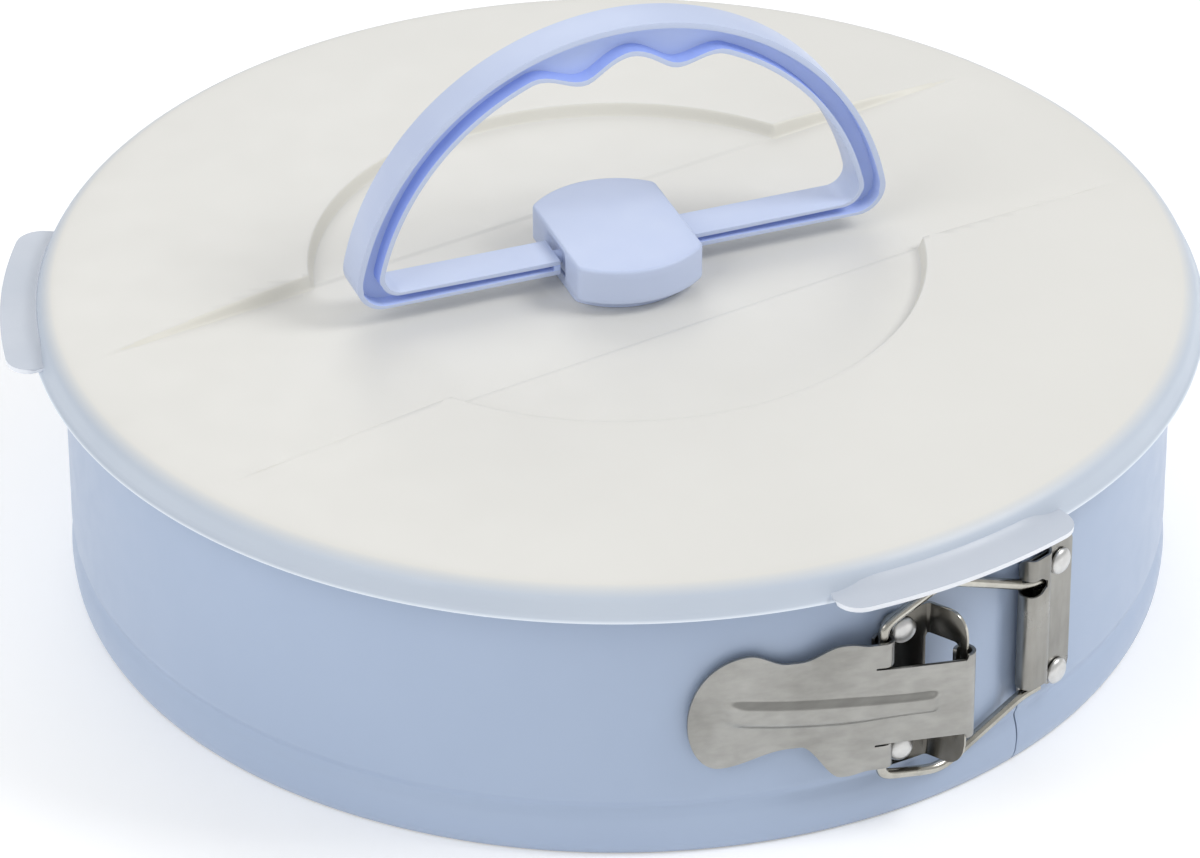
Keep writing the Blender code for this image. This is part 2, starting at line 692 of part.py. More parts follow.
def catch_path():
    """The catch's section from above, as (point, low, high): leg on the wall, fold, cover, foot."""
    leg = WALL_RADIUS + GAP + CATCH_SHEET / 2
    foot = leg + CATCH_SHEET + GAP
    fold_radius = (CATCH_COVER_RADIUS - leg) / 2
    path = []
    for azimuth in steps_between(CATCH_RIGHT_AZIMUTH - 0.5, CATCH_FOLD_AZIMUTH, 1.6):
        path.append((polar(leg, azimuth), CATCH_LEG_LOW, CATCH_LEG_HIGH))
    centre = polar(leg + fold_radius, CATCH_FOLD_AZIMUTH)
    outward = polar(1, CATCH_FOLD_AZIMUTH)
    left = Vector((outward.y, -outward.x, 0))
    for turn in (30, 60, 90, 120, 150):
        angle = math.radians(turn)
        point = centre - outward * fold_radius * math.cos(angle) + left * fold_radius * math.sin(angle) * 0.8
        high = CATCH_LEG_HIGH + (CATCH_COVER_HIGH - CATCH_LEG_HIGH) * smooth(turn, 0, 120)
        path.append((point, CATCH_COVER_LOW, high))
    for azimuth in steps_between(CATCH_FOLD_AZIMUTH, CATCH_RAMP_TOP_AZIMUTH, 1.3):
        path.append((polar(CATCH_COVER_RADIUS, azimuth), CATCH_COVER_LOW, CATCH_COVER_HIGH))
    for azimuth in steps_between(CATCH_RAMP_TOP_AZIMUTH, CATCH_RAMP_FOOT_AZIMUTH, 0.7)[1:]:
        down = smooth(azimuth, CATCH_RAMP_TOP_AZIMUTH, CATCH_RAMP_FOOT_AZIMUTH)
        radius = CATCH_COVER_RADIUS + (foot - CATCH_COVER_RADIUS) * down
        path.append((polar(radius, azimuth), CATCH_COVER_LOW, CATCH_COVER_HIGH))
    for azimuth in steps_between(CATCH_RAMP_FOOT_AZIMUTH, CATCH_RIGHT_AZIMUTH, 1.1)[1:]:
        inset = 2.2 * MM * smooth(azimuth, CATCH_RIVET_AZIMUTH, CATCH_RIGHT_AZIMUTH)
        path.append((polar(foot, azimuth), CATCH_COVER_LOW - 4 * MM + inset, CATCH_COVER_HIGH - inset))
    return path


def make_catch_bracket(holes):
    """A folded plate: its fold holds the bail's far side, which enters through a corner slot."""
    slot_low = LATCH_HEIGHT + BAIL_CATCH_HALF - CATCH_SLOT_BELOW
    slot_high = LATCH_HEIGHT + BAIL_CATCH_HALF + CATCH_SLOT_ABOVE
    path = catch_path()
    columns = []
    for point, low, high in path:
        heights = (low, (low + slot_low) / 2, slot_low, slot_high, high)
        columns.append([point + Vector((0, 0, height)) for height in heights])
    leg_count = len(steps_between(CATCH_RIGHT_AZIMUTH - 0.5, CATCH_FOLD_AZIMUTH, 1.6))
    slot_first = leg_count
    slot_last = leg_count + 7
    whole_before = columns[: slot_first + 1]
    whole_after = columns[slot_last:]
    above = [column[3:] for column in columns[slot_first : slot_last + 1]]
    below = [column[:3] for column in columns[slot_first : slot_last + 1]]
    mesh = sheet_mesh("catch_bracket", [whole_before, above, below, whole_after])
    obj = new_part("catch_bracket", mesh, STEEL)
    solidify(obj, CATCH_SHEET)
    combine(obj, holes, "DIFFERENCE")


# --- lid ---


def dome_height(radius):
    """The height of the lid's domed top here."""
    return LID_CROWN - (LID_CROWN - LID_EDGE_HEIGHT) * (radius / LID_EDGE_RADIUS) ** 2


def lid_outer_profile():
    dome = [(radius * MM, dome_height(radius * MM)) for radius in (0, 40, 73, 95, 114, 128)]
    skirt = LID_RADIUS
    shoulder = [
        (skirt - 6.4 * MM, LID_EDGE_HEIGHT - 0.1 * MM),
        (skirt - 4.2 * MM, LID_EDGE_HEIGHT - 0.6 * MM),
        (skirt - 2.5 * MM, LID_EDGE_HEIGHT - 1.7 * MM),
        (skirt - 1.5 * MM, LID_EDGE_HEIGHT - 3.3 * MM),
        (skirt - 0.9 * MM, LID_LOWEST + 2.0 * MM),
        (skirt, LID_LOWEST + 0.7 * MM),
        (skirt, LID_LOWEST),
        (0, LID_LOWEST),
    ]
    return dome + shoulder


def lid_cavity_profile():
    dome = [(radius * MM, dome_height(radius * MM) - LID_SHEET) for radius in (0, 40, 73, 95, 114, 124)]
    inner = LID_RADIUS - 2.3 * MM
    below = LID_LOWEST - 2 * MM
    seat = RING_HEIGHT + GAP
    shoulder = [
        (LID_SEAT[0], seat),
        (LID_SEAT[1], seat),
        (inner - 2.3 * MM, LID_EDGE_HEIGHT - 1.9 * MM),
        (inner - 0.9 * MM, LID_EDGE_HEIGHT - 2.6 * MM),
        (inner, LID_EDGE_HEIGHT - 3.8 * MM),
        (inner, LID_LOWEST + 2.0 * MM),
        (inner + 0.7 * MM, LID_LOWEST + 0.7 * MM),
        (inner + 0.7 * MM, below),
        (0, below),
    ]
    return dome + shoulder


def recess_cutter(name, grow, drop):
    """The lid's band and circle recess; grow widens it and drop lowers its floor."""
    top = LID_CROWN + 5 * MM
    reach = LID_RADIUS * 2
    half = LID_BAND_HALF + grow
    band = box_mesh(name, (-reach, -half, LID_BAND_FLOOR - drop), (reach, half, top))
    obj = new_cutter(f"{name}_band", band)
    start = Vector((0, 0, LID_CIRCLE_FLOOR - drop))
    end = Vector((0, 0, top + 1 * MM))
    circle = cylinder_mesh(name, LID_CIRCLE_RADIUS + grow, start, end, ROUND_STEPS)
    combine(obj, new_cutter(f"{name}_circle", circle), "UNION")
    return obj


def tab_outline(azimuth):
    """A lift tab's outline: a piece of a ring with rounded outer corners."""
    half = TAB_HALF_ANGLE
    outline = []
    for turn in (0, 22.5, 45, 67.5, 90):
        angle = math.radians(turn)
        across = half - TAB_CORNER_ANGLE * (1 - math.cos(angle))
        radius = TAB_RADIUS - TAB_CORNER * (1 - math.sin(angle))
        outline.append((radius, across))
    outline.append((TAB_RADIUS, (half - TAB_CORNER_ANGLE) / 2))
    right = [polar(radius, azimuth + across).xy for radius, across in reversed(outline)]
    left = [polar(radius, azimuth - across).xy for radius, across in outline]
    inner = [polar(TAB_ROOT_RADIUS, azimuth + across).xy for across in (half, 6.5, 0, -6.5, -half)]
    return left + [polar(TAB_RADIUS, azimuth).xy] + right + inner


def make_lid():
    """A domed shell with a recess for the folded handle, a skirt over the rim and two lift tabs."""
    obj = new_part("lid", profile_mesh("lid", lid_outer_profile()), FROSTED)
    screw(obj, ROUND_STEPS)
    combine(obj, recess_cutter("lid_recess", 0, 0), "DIFFERENCE")
    cavity = new_cutter("lid_cavity", profile_mesh("lid_cavity", lid_cavity_profile()))
    screw(cavity, ROUND_STEPS)
    combine(cavity, recess_cutter("lid_recess_under", LID_SHEET, LID_SHEET), "DIFFERENCE")
    combine(obj, cavity, "DIFFERENCE")
    top = TAB_LOWEST + TAB_THICKNESS
    tabs = [prism_mesh("lid_tab", tab_outline(azimuth), TAB_LOWEST, top) for azimuth in TAB_AZIMUTHS]
    combine(obj, new_cutter("lid_tabs", joined("lid_tabs", tabs)), "UNION")
    low = Vector((0, 0, LID_BAND_FLOOR - 5 * MM))
    high = Vector((0, 0, LID_BAND_FLOOR + 5 * MM))
    hole = cylinder_mesh("lid_hole", LID_HOLE_RADIUS, low, high, 32)
    combine(obj, new_cutter("lid_hole", hole), "DIFFERENCE")


# --- hub and handle ---


def hub_outline(radius, flat):
    """A circle with two flat sides that face the bars, turned to the handle's azimuth."""
    across = flat - HUB_CORNER
    along = math.sqrt((radius - HUB_CORNER) ** 2 - across * across)
    meet = math.degrees(math.atan2(along, across))
    half = arc((across, along), HUB_CORNER, 0, meet, 15)
    half += arc((0, 0), radius, meet, 180 - meet, ARC_STEP)[1:-1]
    half += arc((-across, along), HUB_CORNER, 180 - meet, 180, 15)
    turn = Matrix.Rotation(math.radians(HUB_AZIMUTH), 2)
    return [turn @ Vector(point) * side for side in (1, -1) for point in half]


def make_hub_cap():
    """The block on top, grooved underneath for the handle's stubs and drilled for the screw."""
    mesh = prism_mesh("hub_cap", hub_outline(HUB_RADIUS, HUB_FLAT), HUB_LOW, HUB_HIGH)
    obj = new_part("hub_cap", mesh, BLUE_PLASTIC)
    bevel = obj.modifiers.new("edge", "BEVEL")
    bevel.width = HUB_EDGE
    bevel.segments = 2
    bevel.limit_method = "ANGLE"
    bevel.angle_limit = math.radians(60)
    bar = polar(1, HUB_AZIMUTH)
    axis = Vector((0, 0, HANDLE_AXIS_HEIGHT))
    bore = STUB_RADIUS + GAP
    for name, side in (("hub_groove_right", 1), ("hub_groove_left", -1)):
        start = axis + bar * side * (STUB_END - 0.5 * MM)
        end = axis + bar * side * (HUB_FLAT + 3 * MM)
        round_top = cylinder_mesh(name, bore, start, end, 20)
        slot = box_mesh(name, (-0.5, -0.5, -1), (0.5, 0.5, 0))
        turn = Matrix.Rotation(math.radians(HUB_AZIMUTH), 4, "Z")
        size = Vector(((end - start).length, 2 * bore, HANDLE_AXIS_HEIGHT - HUB_LOW + 1 * MM))
        slot.transform(Matrix.LocRotScale((start + end) / 2, turn.to_quaternion(), size))
        groove = new_cutter(name, round_top)
        combine(groove, new_cutter(f"{name}_slot", slot), "UNION")
        combine(obj, groove, "DIFFERENCE")
    low = Vector((0, 0, HUB_LOW - 1 * MM))
    hole = cylinder_mesh("hub_hole", SCREW_RADIUS + GAP, low, Vector((0, 0, SCREW_TOP + GAP)), 20)
    combine(obj, new_cutter("hub_hole", hole), "DIFFERENCE")


def make_hub_foot():
    """A foot of the cap's outline, whose stem turns in the lid's hole."""
    top = HUB_LOW - GAP
    mesh = prism_mesh("hub_foot", hub_outline(FOOT_RADIUS, FOOT_FLAT), FOOT_LOW, top)
    obj = new_part("hub_foot", mesh, BLUE_PLASTIC)
    low = Vector((0, 0, STEM_LOW))
    high = Vector((0, 0, top))
    stem = cylinder_mesh("hub_stem", STEM_RADIUS, low, high - Vector((0, 0, 1 * MM)), 40)
    combine(obj, new_cutter("hub_stem", stem), "UNION")
    over = Vector((0, 0, 1 * MM))
    bore = cylinder_mesh("hub_bore", SCREW_RADIUS + GAP, low - over, high + over, 20)
    combine(obj, new_cutter("hub_bore", bore), "DIFFERENCE")


def make_hub_fasteners():
    """A washer under the lid and a screw up into the cap."""
    washer_top = STEM_LOW - GAP
    washer_low = washer_top - WASHER_HEIGHT
    bore = SCREW_RADIUS + GAP
    profile = (
        (bore, washer_top),
        (WASHER_RADIUS, washer_top),
        (WASHER_RADIUS, washer_low),
        (bore, washer_low),
    )
    washer = new_part("hub_washer", profile_mesh("hub_washer", profile, closed=True), STEEL)
    screw(washer, 32)
    seat = washer_low - GAP
    profile = (
        (0, SCREW_TOP),
        (SCREW_RADIUS * 0.6, SCREW_TOP),
        (SCREW_RADIUS, SCREW_TOP - 1 * MM),
        (SCREW_RADIUS, seat),
        (SCREW_HEAD_RADIUS, seat),
        (SCREW_HEAD_RADIUS, seat - SCREW_HEAD_HEIGHT * 0.5),
        (SCREW_HEAD_RADIUS * 0.7, seat - SCREW_HEAD_HEIGHT),
        (0, seat - SCREW_HEAD_HEIGHT),
    )
    obj = new_part("hub_screw", profile_mesh("hub_screw", profile), STEEL)
    screw(obj, 20)


def finger_bump(angle):
    """How far the finger grips stand in from the arch, at degrees from the top."""
    depth = 0.0
    for centre, half, height in FINGER_BUMPS:
        share = min(abs(angle - centre) / half, 1)
        depth += height * math.cos(share * math.pi / 2) ** 2
    return depth


def arc(centre, radius, start, end, step):
    """Points on a circle, from start to end degrees from the +X direction."""
    points = []
    for angle in steps_between(start, end, step):
        turn = math.radians(angle)
        points.append((centre[0] + radius * math.cos(turn), centre[1] + radius * math.sin(turn)))
    return points


def corner_place(reach, height):
    """Where a corner's centre lies, and the angle at which it meets the arch."""
    rise = height - HANDLE_CENTRE
    across = math.sqrt(reach * reach - rise * rise)
    return (across, height), math.degrees(math.atan2(rise, across))


def handle_outline(lip, bar_lip):
    """The handle's outline; the lips shrink it to the outline of its side pockets."""
    outer_radius = HANDLE_RADIUS - lip
    low = BAR_LOW + bar_lip
    corner = HANDLE_CORNER - lip
    centre, meet = corner_place(outer_radius - corner, low + corner)
    right = arc(centre, corner, -90, meet, 20)
    top = arc((0, HANDLE_CENTRE), outer_radius, meet, 180 - meet, ARC_STEP)[1:-1]
    left = [(-x, z) for x, z in reversed(right)]
    end = BAR_END + (2 * lip)
    high = BAR_HIGH - bar_lip
    inner_corner = HANDLE_INNER_CORNER + lip
    inner_centre, inner_meet = corner_place(HANDLE_INNER_RADIUS + lip - inner_corner, high + inner_corner)
    inner_left = [(-x, z) for x, z in arc(inner_centre, inner_corner, -90, inner_meet, 25)]
    inner_right = [(-x, z) for x, z in reversed(inner_left)]
    arch = []
    for angle in steps_between(180 - inner_meet, inner_meet, ARC_STEP)[1:-1]:
        radius = HANDLE_INNER_RADIUS + lip - finger_bump(90 - angle)
        turn = math.radians(angle)
        arch.append((radius * math.cos(turn), HANDLE_CENTRE + radius * math.sin(turn)))
    outline = [(end, low)] + right + top + left + [(-end, low), (-end, high)]
    return outline + inner_left + arch + inner_right + [(end, high)]


def make_handle():
    """A D-shaped arch of I section; two stubs on its bars turn in the hub."""
    half = HANDLE_WIDTH / 2
    plane = Matrix.Rotation(math.radians(HUB_AZIMUTH), 4, "Z") @ Matrix.Rotation(math.pi / 2, 4, "X")
    mesh = prism_mesh("handle", handle_outline(0, 0), -half, half)
    mesh.transform(plane)
    axis = Vector((0, 0, HANDLE_AXIS_HEIGHT))
    obj = new_part("handle", mesh, BLUE_PLASTIC, axis)
    pocket = handle_outline(HANDLE_LIP, 1.1 * MM)
    for name, low, high in (
        ("handle_pocket_front", HANDLE_WEB / 2, half + 1 * MM),
        ("handle_pocket_back", -half - 1 * MM, -HANDLE_WEB / 2),
    ):
        cut = prism_mesh(name, pocket, low, high)
        cut.transform(plane)
        combine(obj, new_cutter(name, cut), "DIFFERENCE")
    bar = polar(1, HUB_AZIMUTH)
    for name, side in (("handle_stub_right", 1), ("handle_stub_left", -1)):
        start = axis + bar * side * STUB_END
        end = axis + bar * side * (BAR_END + 1.2 * MM)
        combine(obj, new_cutter(name, cylinder_mesh(name, STUB_RADIUS, start, end, 20)), "UNION")


def build():
    make_base_plate()
    bracket_holes = rivet_holes("lever_bracket_holes", BRACKET_RIVET_AZIMUTH, BRACKET_RIVET_HEIGHTS)
    catch_holes = rivet_holes("catch_holes", CATCH_RIVET_AZIMUTH, CATCH_RIVET_HEIGHTS)
    make_ring_band_left(bracket_holes)
    make_ring_band_right(catch_holes)
    make_lever_bracket(bracket_holes)
    make_catch_bracket(catch_holes)
    make_rivets()
    make_latch_lever()
    make_bail()
    make_lid()
    make_hub_cap()
    make_hub_foot()
    make_hub_fasteners()
    make_handle()


clear_scene()
PAN = new_collection("springform_pan")
CUTTERS = new_collection("cutters")
build()
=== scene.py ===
"""Looks of the springform pan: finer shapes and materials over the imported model."""

import math

import bmesh
import bpy
from mathutils import Matrix, Vector


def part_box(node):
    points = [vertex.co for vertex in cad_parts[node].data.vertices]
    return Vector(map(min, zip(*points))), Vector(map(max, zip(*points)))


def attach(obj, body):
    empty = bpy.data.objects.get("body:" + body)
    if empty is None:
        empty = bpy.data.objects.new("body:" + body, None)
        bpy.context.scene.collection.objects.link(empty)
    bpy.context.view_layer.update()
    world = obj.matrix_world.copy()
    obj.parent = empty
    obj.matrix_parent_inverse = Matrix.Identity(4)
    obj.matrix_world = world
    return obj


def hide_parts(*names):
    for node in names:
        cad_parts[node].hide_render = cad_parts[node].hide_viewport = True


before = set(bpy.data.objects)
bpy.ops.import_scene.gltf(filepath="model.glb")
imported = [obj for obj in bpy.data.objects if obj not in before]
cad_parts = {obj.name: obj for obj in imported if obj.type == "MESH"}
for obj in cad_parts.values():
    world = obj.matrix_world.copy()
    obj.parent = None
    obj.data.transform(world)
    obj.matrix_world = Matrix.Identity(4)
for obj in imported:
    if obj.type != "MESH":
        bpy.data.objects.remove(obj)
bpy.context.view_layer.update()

MM = 0.001

# Ring
WALL_MIDDLE = 130.75 * MM
WALL_SHEET = 0.5 * MM
RING_TOP = 73.0 * MM
CURL = 0.8 * MM
BACK = 104.8
SEAM = -78.4
LEFT_EDGE = -78.6
TONGUE_END = BACK - 180
TONGUE_LOW = 16.4 * MM
TONGUE_HIGH = 68.4 * MM
JOGGLE = (-82.2, -79.6)
JOGGLE_DEPTH = 0.9 * MM
BEAD_SECTION = (
    (1.35, 0.5),
    (0.95, 1.2),
    (0.35, 2.4),
    (0.0, 4.0),
    (-0.25, 6.8),
    (-0.15, 8.6),
    (0.1, 10.2),
    (0.55, 11.7),
    (0.85, 13.0),
    (0.55, 14.1),
    (0.12, 15.2),
    (0.0, 16.4),
)

# Latch
LATCH_Z = 36.0 * MM
SHEET = 0.8 * MM
CURL_RADIUS = 2.2 * MM
WIRE = 1.25 * MM
BAIL_HALF = 14.4 * MM
LEVER_LENGTH = 63.8
SLIT_END = 20.8
LEVER_TIP = 1.0
LEVER_BEAD_END = 56.0
LEVER_BEAD_RISE = 3.4
THUMB_TOP = (49.8, 17.8)
THUMB_BOTTOM = (56.5, -11.4)
SHOULDER_ROW = 17.7
BEAD_ROW = 4.6

# Lid
LID_CROWN = 81.3 * MM
LID_EDGE = (131.0 * MM, 75.8 * MM)
BAND_FLOOR = 76.2 * MM
CIRCLE_FLOOR = 76.55 * MM
BAND_HALF = 32.0 * MM
CIRCLE_RADIUS = 73.0 * MM
RECESS_WALL = 1.6 * MM
# Radii where the painted show-through of the ring fades in, and heights where the painted highlight on the
# skirt's edge fades out.
RING_SHOW_THROUGH_FADE = (133.0 * MM, 136.0 * MM)
EDGE_HIGHLIGHT_FADE = (68.55 * MM, 69.1 * MM)
LID_SHEET = 1.25 * MM
SHOULDER = (
    (131.0, 75.8),
    (132.4, 75.6),
    (133.7, 75.22),
    (134.9, 74.6),
    (135.85, 73.75),
    (136.55, 72.7),
    (137.0, 71.5),
    (137.35, 70.6),
    (137.65, 69.8),
    (138.1, 69.15),
    (138.45, 68.85),
    (138.6, 68.5),
)
TAB_AZIMUTHS = (-89.7, 148.9)
TAB_HALF_ANGLE = 13.0
TAB_CORNER_ANGLE = 2.4
TAB_REACH = 145.4
TAB_ROOT = 136.6
TAB_HEIGHT = 69.85

# Hub and handle
HUB_TURN = -11.7
HUB_RADIUS = 22.0
HUB_FLAT = 15.6
HUB_CORNER = 2.5
HANDLE_CENTRE = 76.0
HANDLE_RADIUS = 67.5
HANDLE_INNER = 61.0
BAR_LOW = 80.9
BAR_HIGH = 84.5
BAR_END = 16.1


def polar(radius, azimuth, height=0.0):
    angle = math.radians(azimuth)
    return Vector((radius * math.cos(angle), radius * math.sin(angle), height))


PIVOT = polar(140.6 * MM, -89.25)
LEVER_BAR = polar(134.8 * MM, -96.7)
CATCH_BAR = polar(134.1 * MM, -77.7)


def smooth(value, start, end):
    t = min(max((value - start) / (end - start), 0.0), 1.0)
    return t * t * (3 - 2 * t)


def steps(start, end, longest):
    count = max(1, math.ceil(abs(end - start) / longest - 1e-9))
    return [start + (end - start) * i / count for i in range(count + 1)]


def spline(points, per):
    """Points on a smooth curve through these points."""
    vectors = [Vector(point) for point in points]
    ends = [2 * vectors[0] - vectors[1], *vectors, 2 * vectors[-1] - vectors[-2]]
    curve = []
    for a, b, c, d in zip(ends, ends[1:], ends[2:], ends[3:]):
        for i in range(per):
            t = i / per
            p = 2 * b + (c - a) * t + (2 * a - 5 * b + 4 * c - d) * t * t
            curve.append((p + (3 * b - a - 3 * c + d) * t**3) / 2)
    curve.append(vectors[-1])
    return curve


def rounded(points, radius, count=5):
    """A polyline whose corners are replaced by short curves."""
    path = [points[0]]
    for before, corner, after in zip(points, points[1:], points[2:]):
        reach_in = min(radius, (corner - before).length * 0.45)
        reach_out = min(radius, (after - corner).length * 0.45)
        start = corner + (before - corner).normalized() * reach_in
        end = corner + (after - corner).normalized() * reach_out
        for i in range(count + 1):
            t = i / count
            path.append(start * (1 - t) ** 2 + corner * 2 * t * (1 - t) + end * t * t)
    return [*path, points[-1]]


# --- materials ---


class Nodes:
    """Builds one procedural material."""

    def __init__(self, name, roughness, metallic=0.0, **sockets):
        self.material = bpy.data.materials.new(name)
        self.material.use_nodes = True
        self.tree = self.material.node_tree
        self.shader = self.tree.nodes["Principled BSDF"]
        self.shader.inputs["Roughness"].default_value = roughness
        self.shader.inputs["Metallic"].default_value = metallic
        for key, value in sockets.items():
            self.shader.inputs[key.replace("_", " ")].default_value = value
        self.place = self.tree.nodes.new("ShaderNodeTexCoord").outputs["Object"]

    def add(self, kind, **values):
        node = self.tree.nodes.new(kind)
        for key, value in values.items():
            setattr(node, key, value)
        return node

    def link(self, source, target):
        self.tree.links.new(source, target)

    def noise(self, scale, detail=4.0, stretch=(1, 1, 1), turn=0.0):
        mapping = self.add("ShaderNodeMapping")
        mapping.inputs["Scale"].default_value = stretch
        mapping.inputs["Rotation"].default_value = (0, 0, math.radians(turn))
        self.link(self.place, mapping.inputs["Vector"])
        texture = self.add("ShaderNodeTexNoise")
        texture.inputs["Scale"].default_value = scale
        texture.inputs["Detail"].default_value = detail
        self.link(mapping.outputs["Vector"], texture.inputs["Vector"])
        return texture.outputs["Fac"]

    def ramp(self, source, *stops):
        ramp = self.add("ShaderNodeValToRGB")
        elements = ramp.color_ramp.elements
        while len(elements) < len(stops):
            elements.new(0.5)
        for element, (position, colour) in zip(elements, stops):
            element.position = position
            element.color = (*colour, 1)
        self.link(source, ramp.inputs["Fac"])
        return ramp.outputs["Color"]

    def scaled(self, source, low, high, start=0.3, end=0.7):
        """The source's start to end range, carried to low to high."""
        node = self.add("ShaderNodeMapRange")
        for key, value in zip(("From Min", "From Max", "To Min", "To Max"), (start, end, low, high)):
            node.inputs[key].default_value = value
        self.link(source, node.inputs["Value"])
        return node.outputs["Result"]

    def mix(self, factor, first, second, mode="MIX"):
        node = self.add("ShaderNodeMix", data_type="RGBA", blend_type=mode)
        ends = ((node.inputs["Factor"], factor), (node.inputs[6], first), (node.inputs[7], second))
        for socket, value in ends:
            if isinstance(value, bpy.types.NodeSocket):
                self.link(value, socket)
            else:
                socket.default_value = value if isinstance(value, float) else (*value, 1)
        return node.outputs[2]

    def bump(self, source, strength, distance, under=None):
        node = self.add("ShaderNodeBump")
        node.inputs["Strength"].default_value = strength
        node.inputs["Distance"].default_value = distance
        self.link(source, node.inputs["Height"])
        if under:
            self.link(under, node.inputs["Normal"])
        return node.outputs["Normal"]

    def done(self, colour=None, roughness=None, normal=None):
        for key, source in (("Base Color", colour), ("Roughness", roughness), ("Normal", normal)):
            if source:
                self.link(source, self.shader.inputs[key])
        return self.material


def make_wall_paint(name, light, deep):
    """A smooth baked coating: faint clouding and a fine orange-peel texture."""
    n = Nodes(name, 0.36, Specular_IOR_Level=0.5, Coat_Weight=0.12, Coat_Roughness=0.2)
    cloud = n.noise(22.0, 3.0)
    colour = n.ramp(cloud, (0.3, deep), (0.7, light))
    peel = n.bump(n.noise(900.0, 2.0), 0.10, 0.02 * MM)
    rough = n.scaled(n.noise(140.0, 4.0), 0.33, 0.42)
    return n.done(colour, rough, n.bump(cloud, 0.15, 0.1 * MM, peel))


def make_frosted():
    """Frosted polypropylene, milky in the middle. The blue of the ring beneath is painted onto the rim and
    skirt as painted show-through, and a pale painted highlight runs along the skirt's lower edge.
    """
    n = Nodes("frosted_lid", 0.42, Specular_IOR_Level=0.42)
    split = n.add("ShaderNodeSeparateXYZ")
    n.link(n.place, split.inputs["Vector"])
    flat = n.add("ShaderNodeCombineXYZ")
    n.link(split.outputs["X"], flat.inputs["X"])
    n.link(split.outputs["Y"], flat.inputs["Y"])
    length = n.add("ShaderNodeVectorMath", operation="LENGTH")
    n.link(flat.outputs["Vector"], length.inputs[0])
    radius = length.outputs["Value"]
    cloud = n.noise(16.0, 4.0)
    milky = n.ramp(cloud, (0.3, (0.695, 0.688, 0.655)), (0.7, (0.72, 0.713, 0.68)))
    # Painted show-through: the ring's blue, painted onto the lid where it passes over the ring.
    rim = n.ramp(n.noise(30.0, 3.0), (0.3, (0.50, 0.56, 0.65)), (0.7, (0.53, 0.59, 0.675)))
    colour = n.mix(n.scaled(radius, 0.0, 1.0, *RING_SHOW_THROUGH_FADE), milky, rim)
    # Painted highlight: a pale blue band along the skirt's lower edge.
    edge = n.scaled(split.outputs["Z"], 1.0, 0.0, *EDGE_HIGHLIGHT_FADE)
    colour = n.mix(edge, colour, (0.80, 0.86, 0.94))
    grain = n.bump(n.noise(2200.0, 3.0), 0.12, 0.02 * MM)
    return n.done(colour, n.scaled(n.noise(90.0, 5.0), 0.38, 0.50), n.bump(cloud, 0.2, 0.3 * MM, grain))


def make_lid_plastic_painted_light(name, light, deep):
    """The lid's plastic recoloured as painted light: the same grain in another colour, for the painted shade
    on the recess walls and tabs and the painted highlight on the tab rims.
    """
    n = Nodes(name, 0.4, Specular_IOR_Level=0.42)
    colour = n.ramp(n.noise(40.0, 4.0), (0.3, deep), (0.7, light))
    return n.done(colour, n.scaled(n.noise(120.0), 0.36, 0.46), n.bump(n.noise(2200.0), 0.12, 0.02 * MM))


def make_plastic(name, light, deep, rough=0.4):
    """Moulded satin plastic with a faint flow pattern."""
    n = Nodes(name, rough, Specular_IOR_Level=0.45)
    flow = n.noise(45.0, 4.0, (1, 1, 2.5))
    colour = n.ramp(flow, (0.3, deep), (0.7, light))
    grain = n.bump(n.noise(1500.0, 3.0), 0.12, 0.02 * MM)
    return n.done(colour, n.scaled(n.noise(160.0, 4.0), rough - 0.05, rough + 0.06), grain)


def make_steel(name, light, deep, rough, turn=0.0, stretch=(1, 1, 1)):
    """Plated stamped steel: drawn grain, handling marks, and duller patches."""
    n = Nodes(name, rough, 1.0)
    patches = n.noise(55.0, 5.0)
    grain = n.noise(500.0, 5.0, stretch, turn)
    colour = n.ramp(patches, (0.32, deep), (0.66, light))
    streaks = n.ramp(grain, (0.35, (0.88, 0.88, 0.88)), (0.65, (1.0, 1.0, 1.0)))
    colour = n.mix(1.0, colour, streaks, "MULTIPLY")
    marks = n.bump(n.noise(260.0, 6.0), 0.14, 0.04 * MM)
    normal = n.bump(grain, 0.12, 0.02 * MM, marks)
    return n.done(colour, n.scaled(patches, rough + 0.05, rough - 0.04), normal)


BLUE = make_wall_paint("blue_wall", (0.378, 0.463, 0.615), (0.363, 0.448, 0.60))
CREAM = make_wall_paint("base_coating", (0.80, 0.75, 0.64), (0.76, 0.71, 0.60))
FROSTED = make_frosted()
# Painted shade: a yellower tint of the lid plastic for the steep recess walls.
SHADED_RECESS = make_lid_plastic_painted_light("frosted_recess_painted_shade", (0.73, 0.715, 0.65), (0.71, 0.695, 0.63))
# Painted shade: the tab's plastic darker and bluer than the lid; painted highlight: its paler rim.
SHADED_TAB = make_lid_plastic_painted_light("frosted_tab_painted_shade", (0.535, 0.575, 0.645), (0.50, 0.545, 0.62))
TAB_EDGE_HIGHLIGHT = make_lid_plastic_painted_light("frosted_tab_edge_painted_highlight", (0.84, 0.87, 0.92), (0.80, 0.83, 0.89))
PLASTIC = make_plastic("blue_plastic", (0.545, 0.62, 0.81), (0.52, 0.595, 0.795))
# Painted shade: deeper blue copies of the plastic for the handle's pocket, deepest along the inner lip.
POCKET_SHADE = make_plastic("blue_plastic_pocket_painted_shade", (0.54, 0.645, 0.93), (0.515, 0.62, 0.91), 0.5)
POCKET_DEEP_SHADE = make_plastic("blue_plastic_pocket_deep_painted_shade", (0.37, 0.48, 0.90), (0.345, 0.455, 0.87), 0.5)
LEVER_STEEL = make_steel("lever_steel", (0.44, 0.437, 0.418), (0.32, 0.316, 0.298), 0.3, 20.9, (0.15, 1, 1))
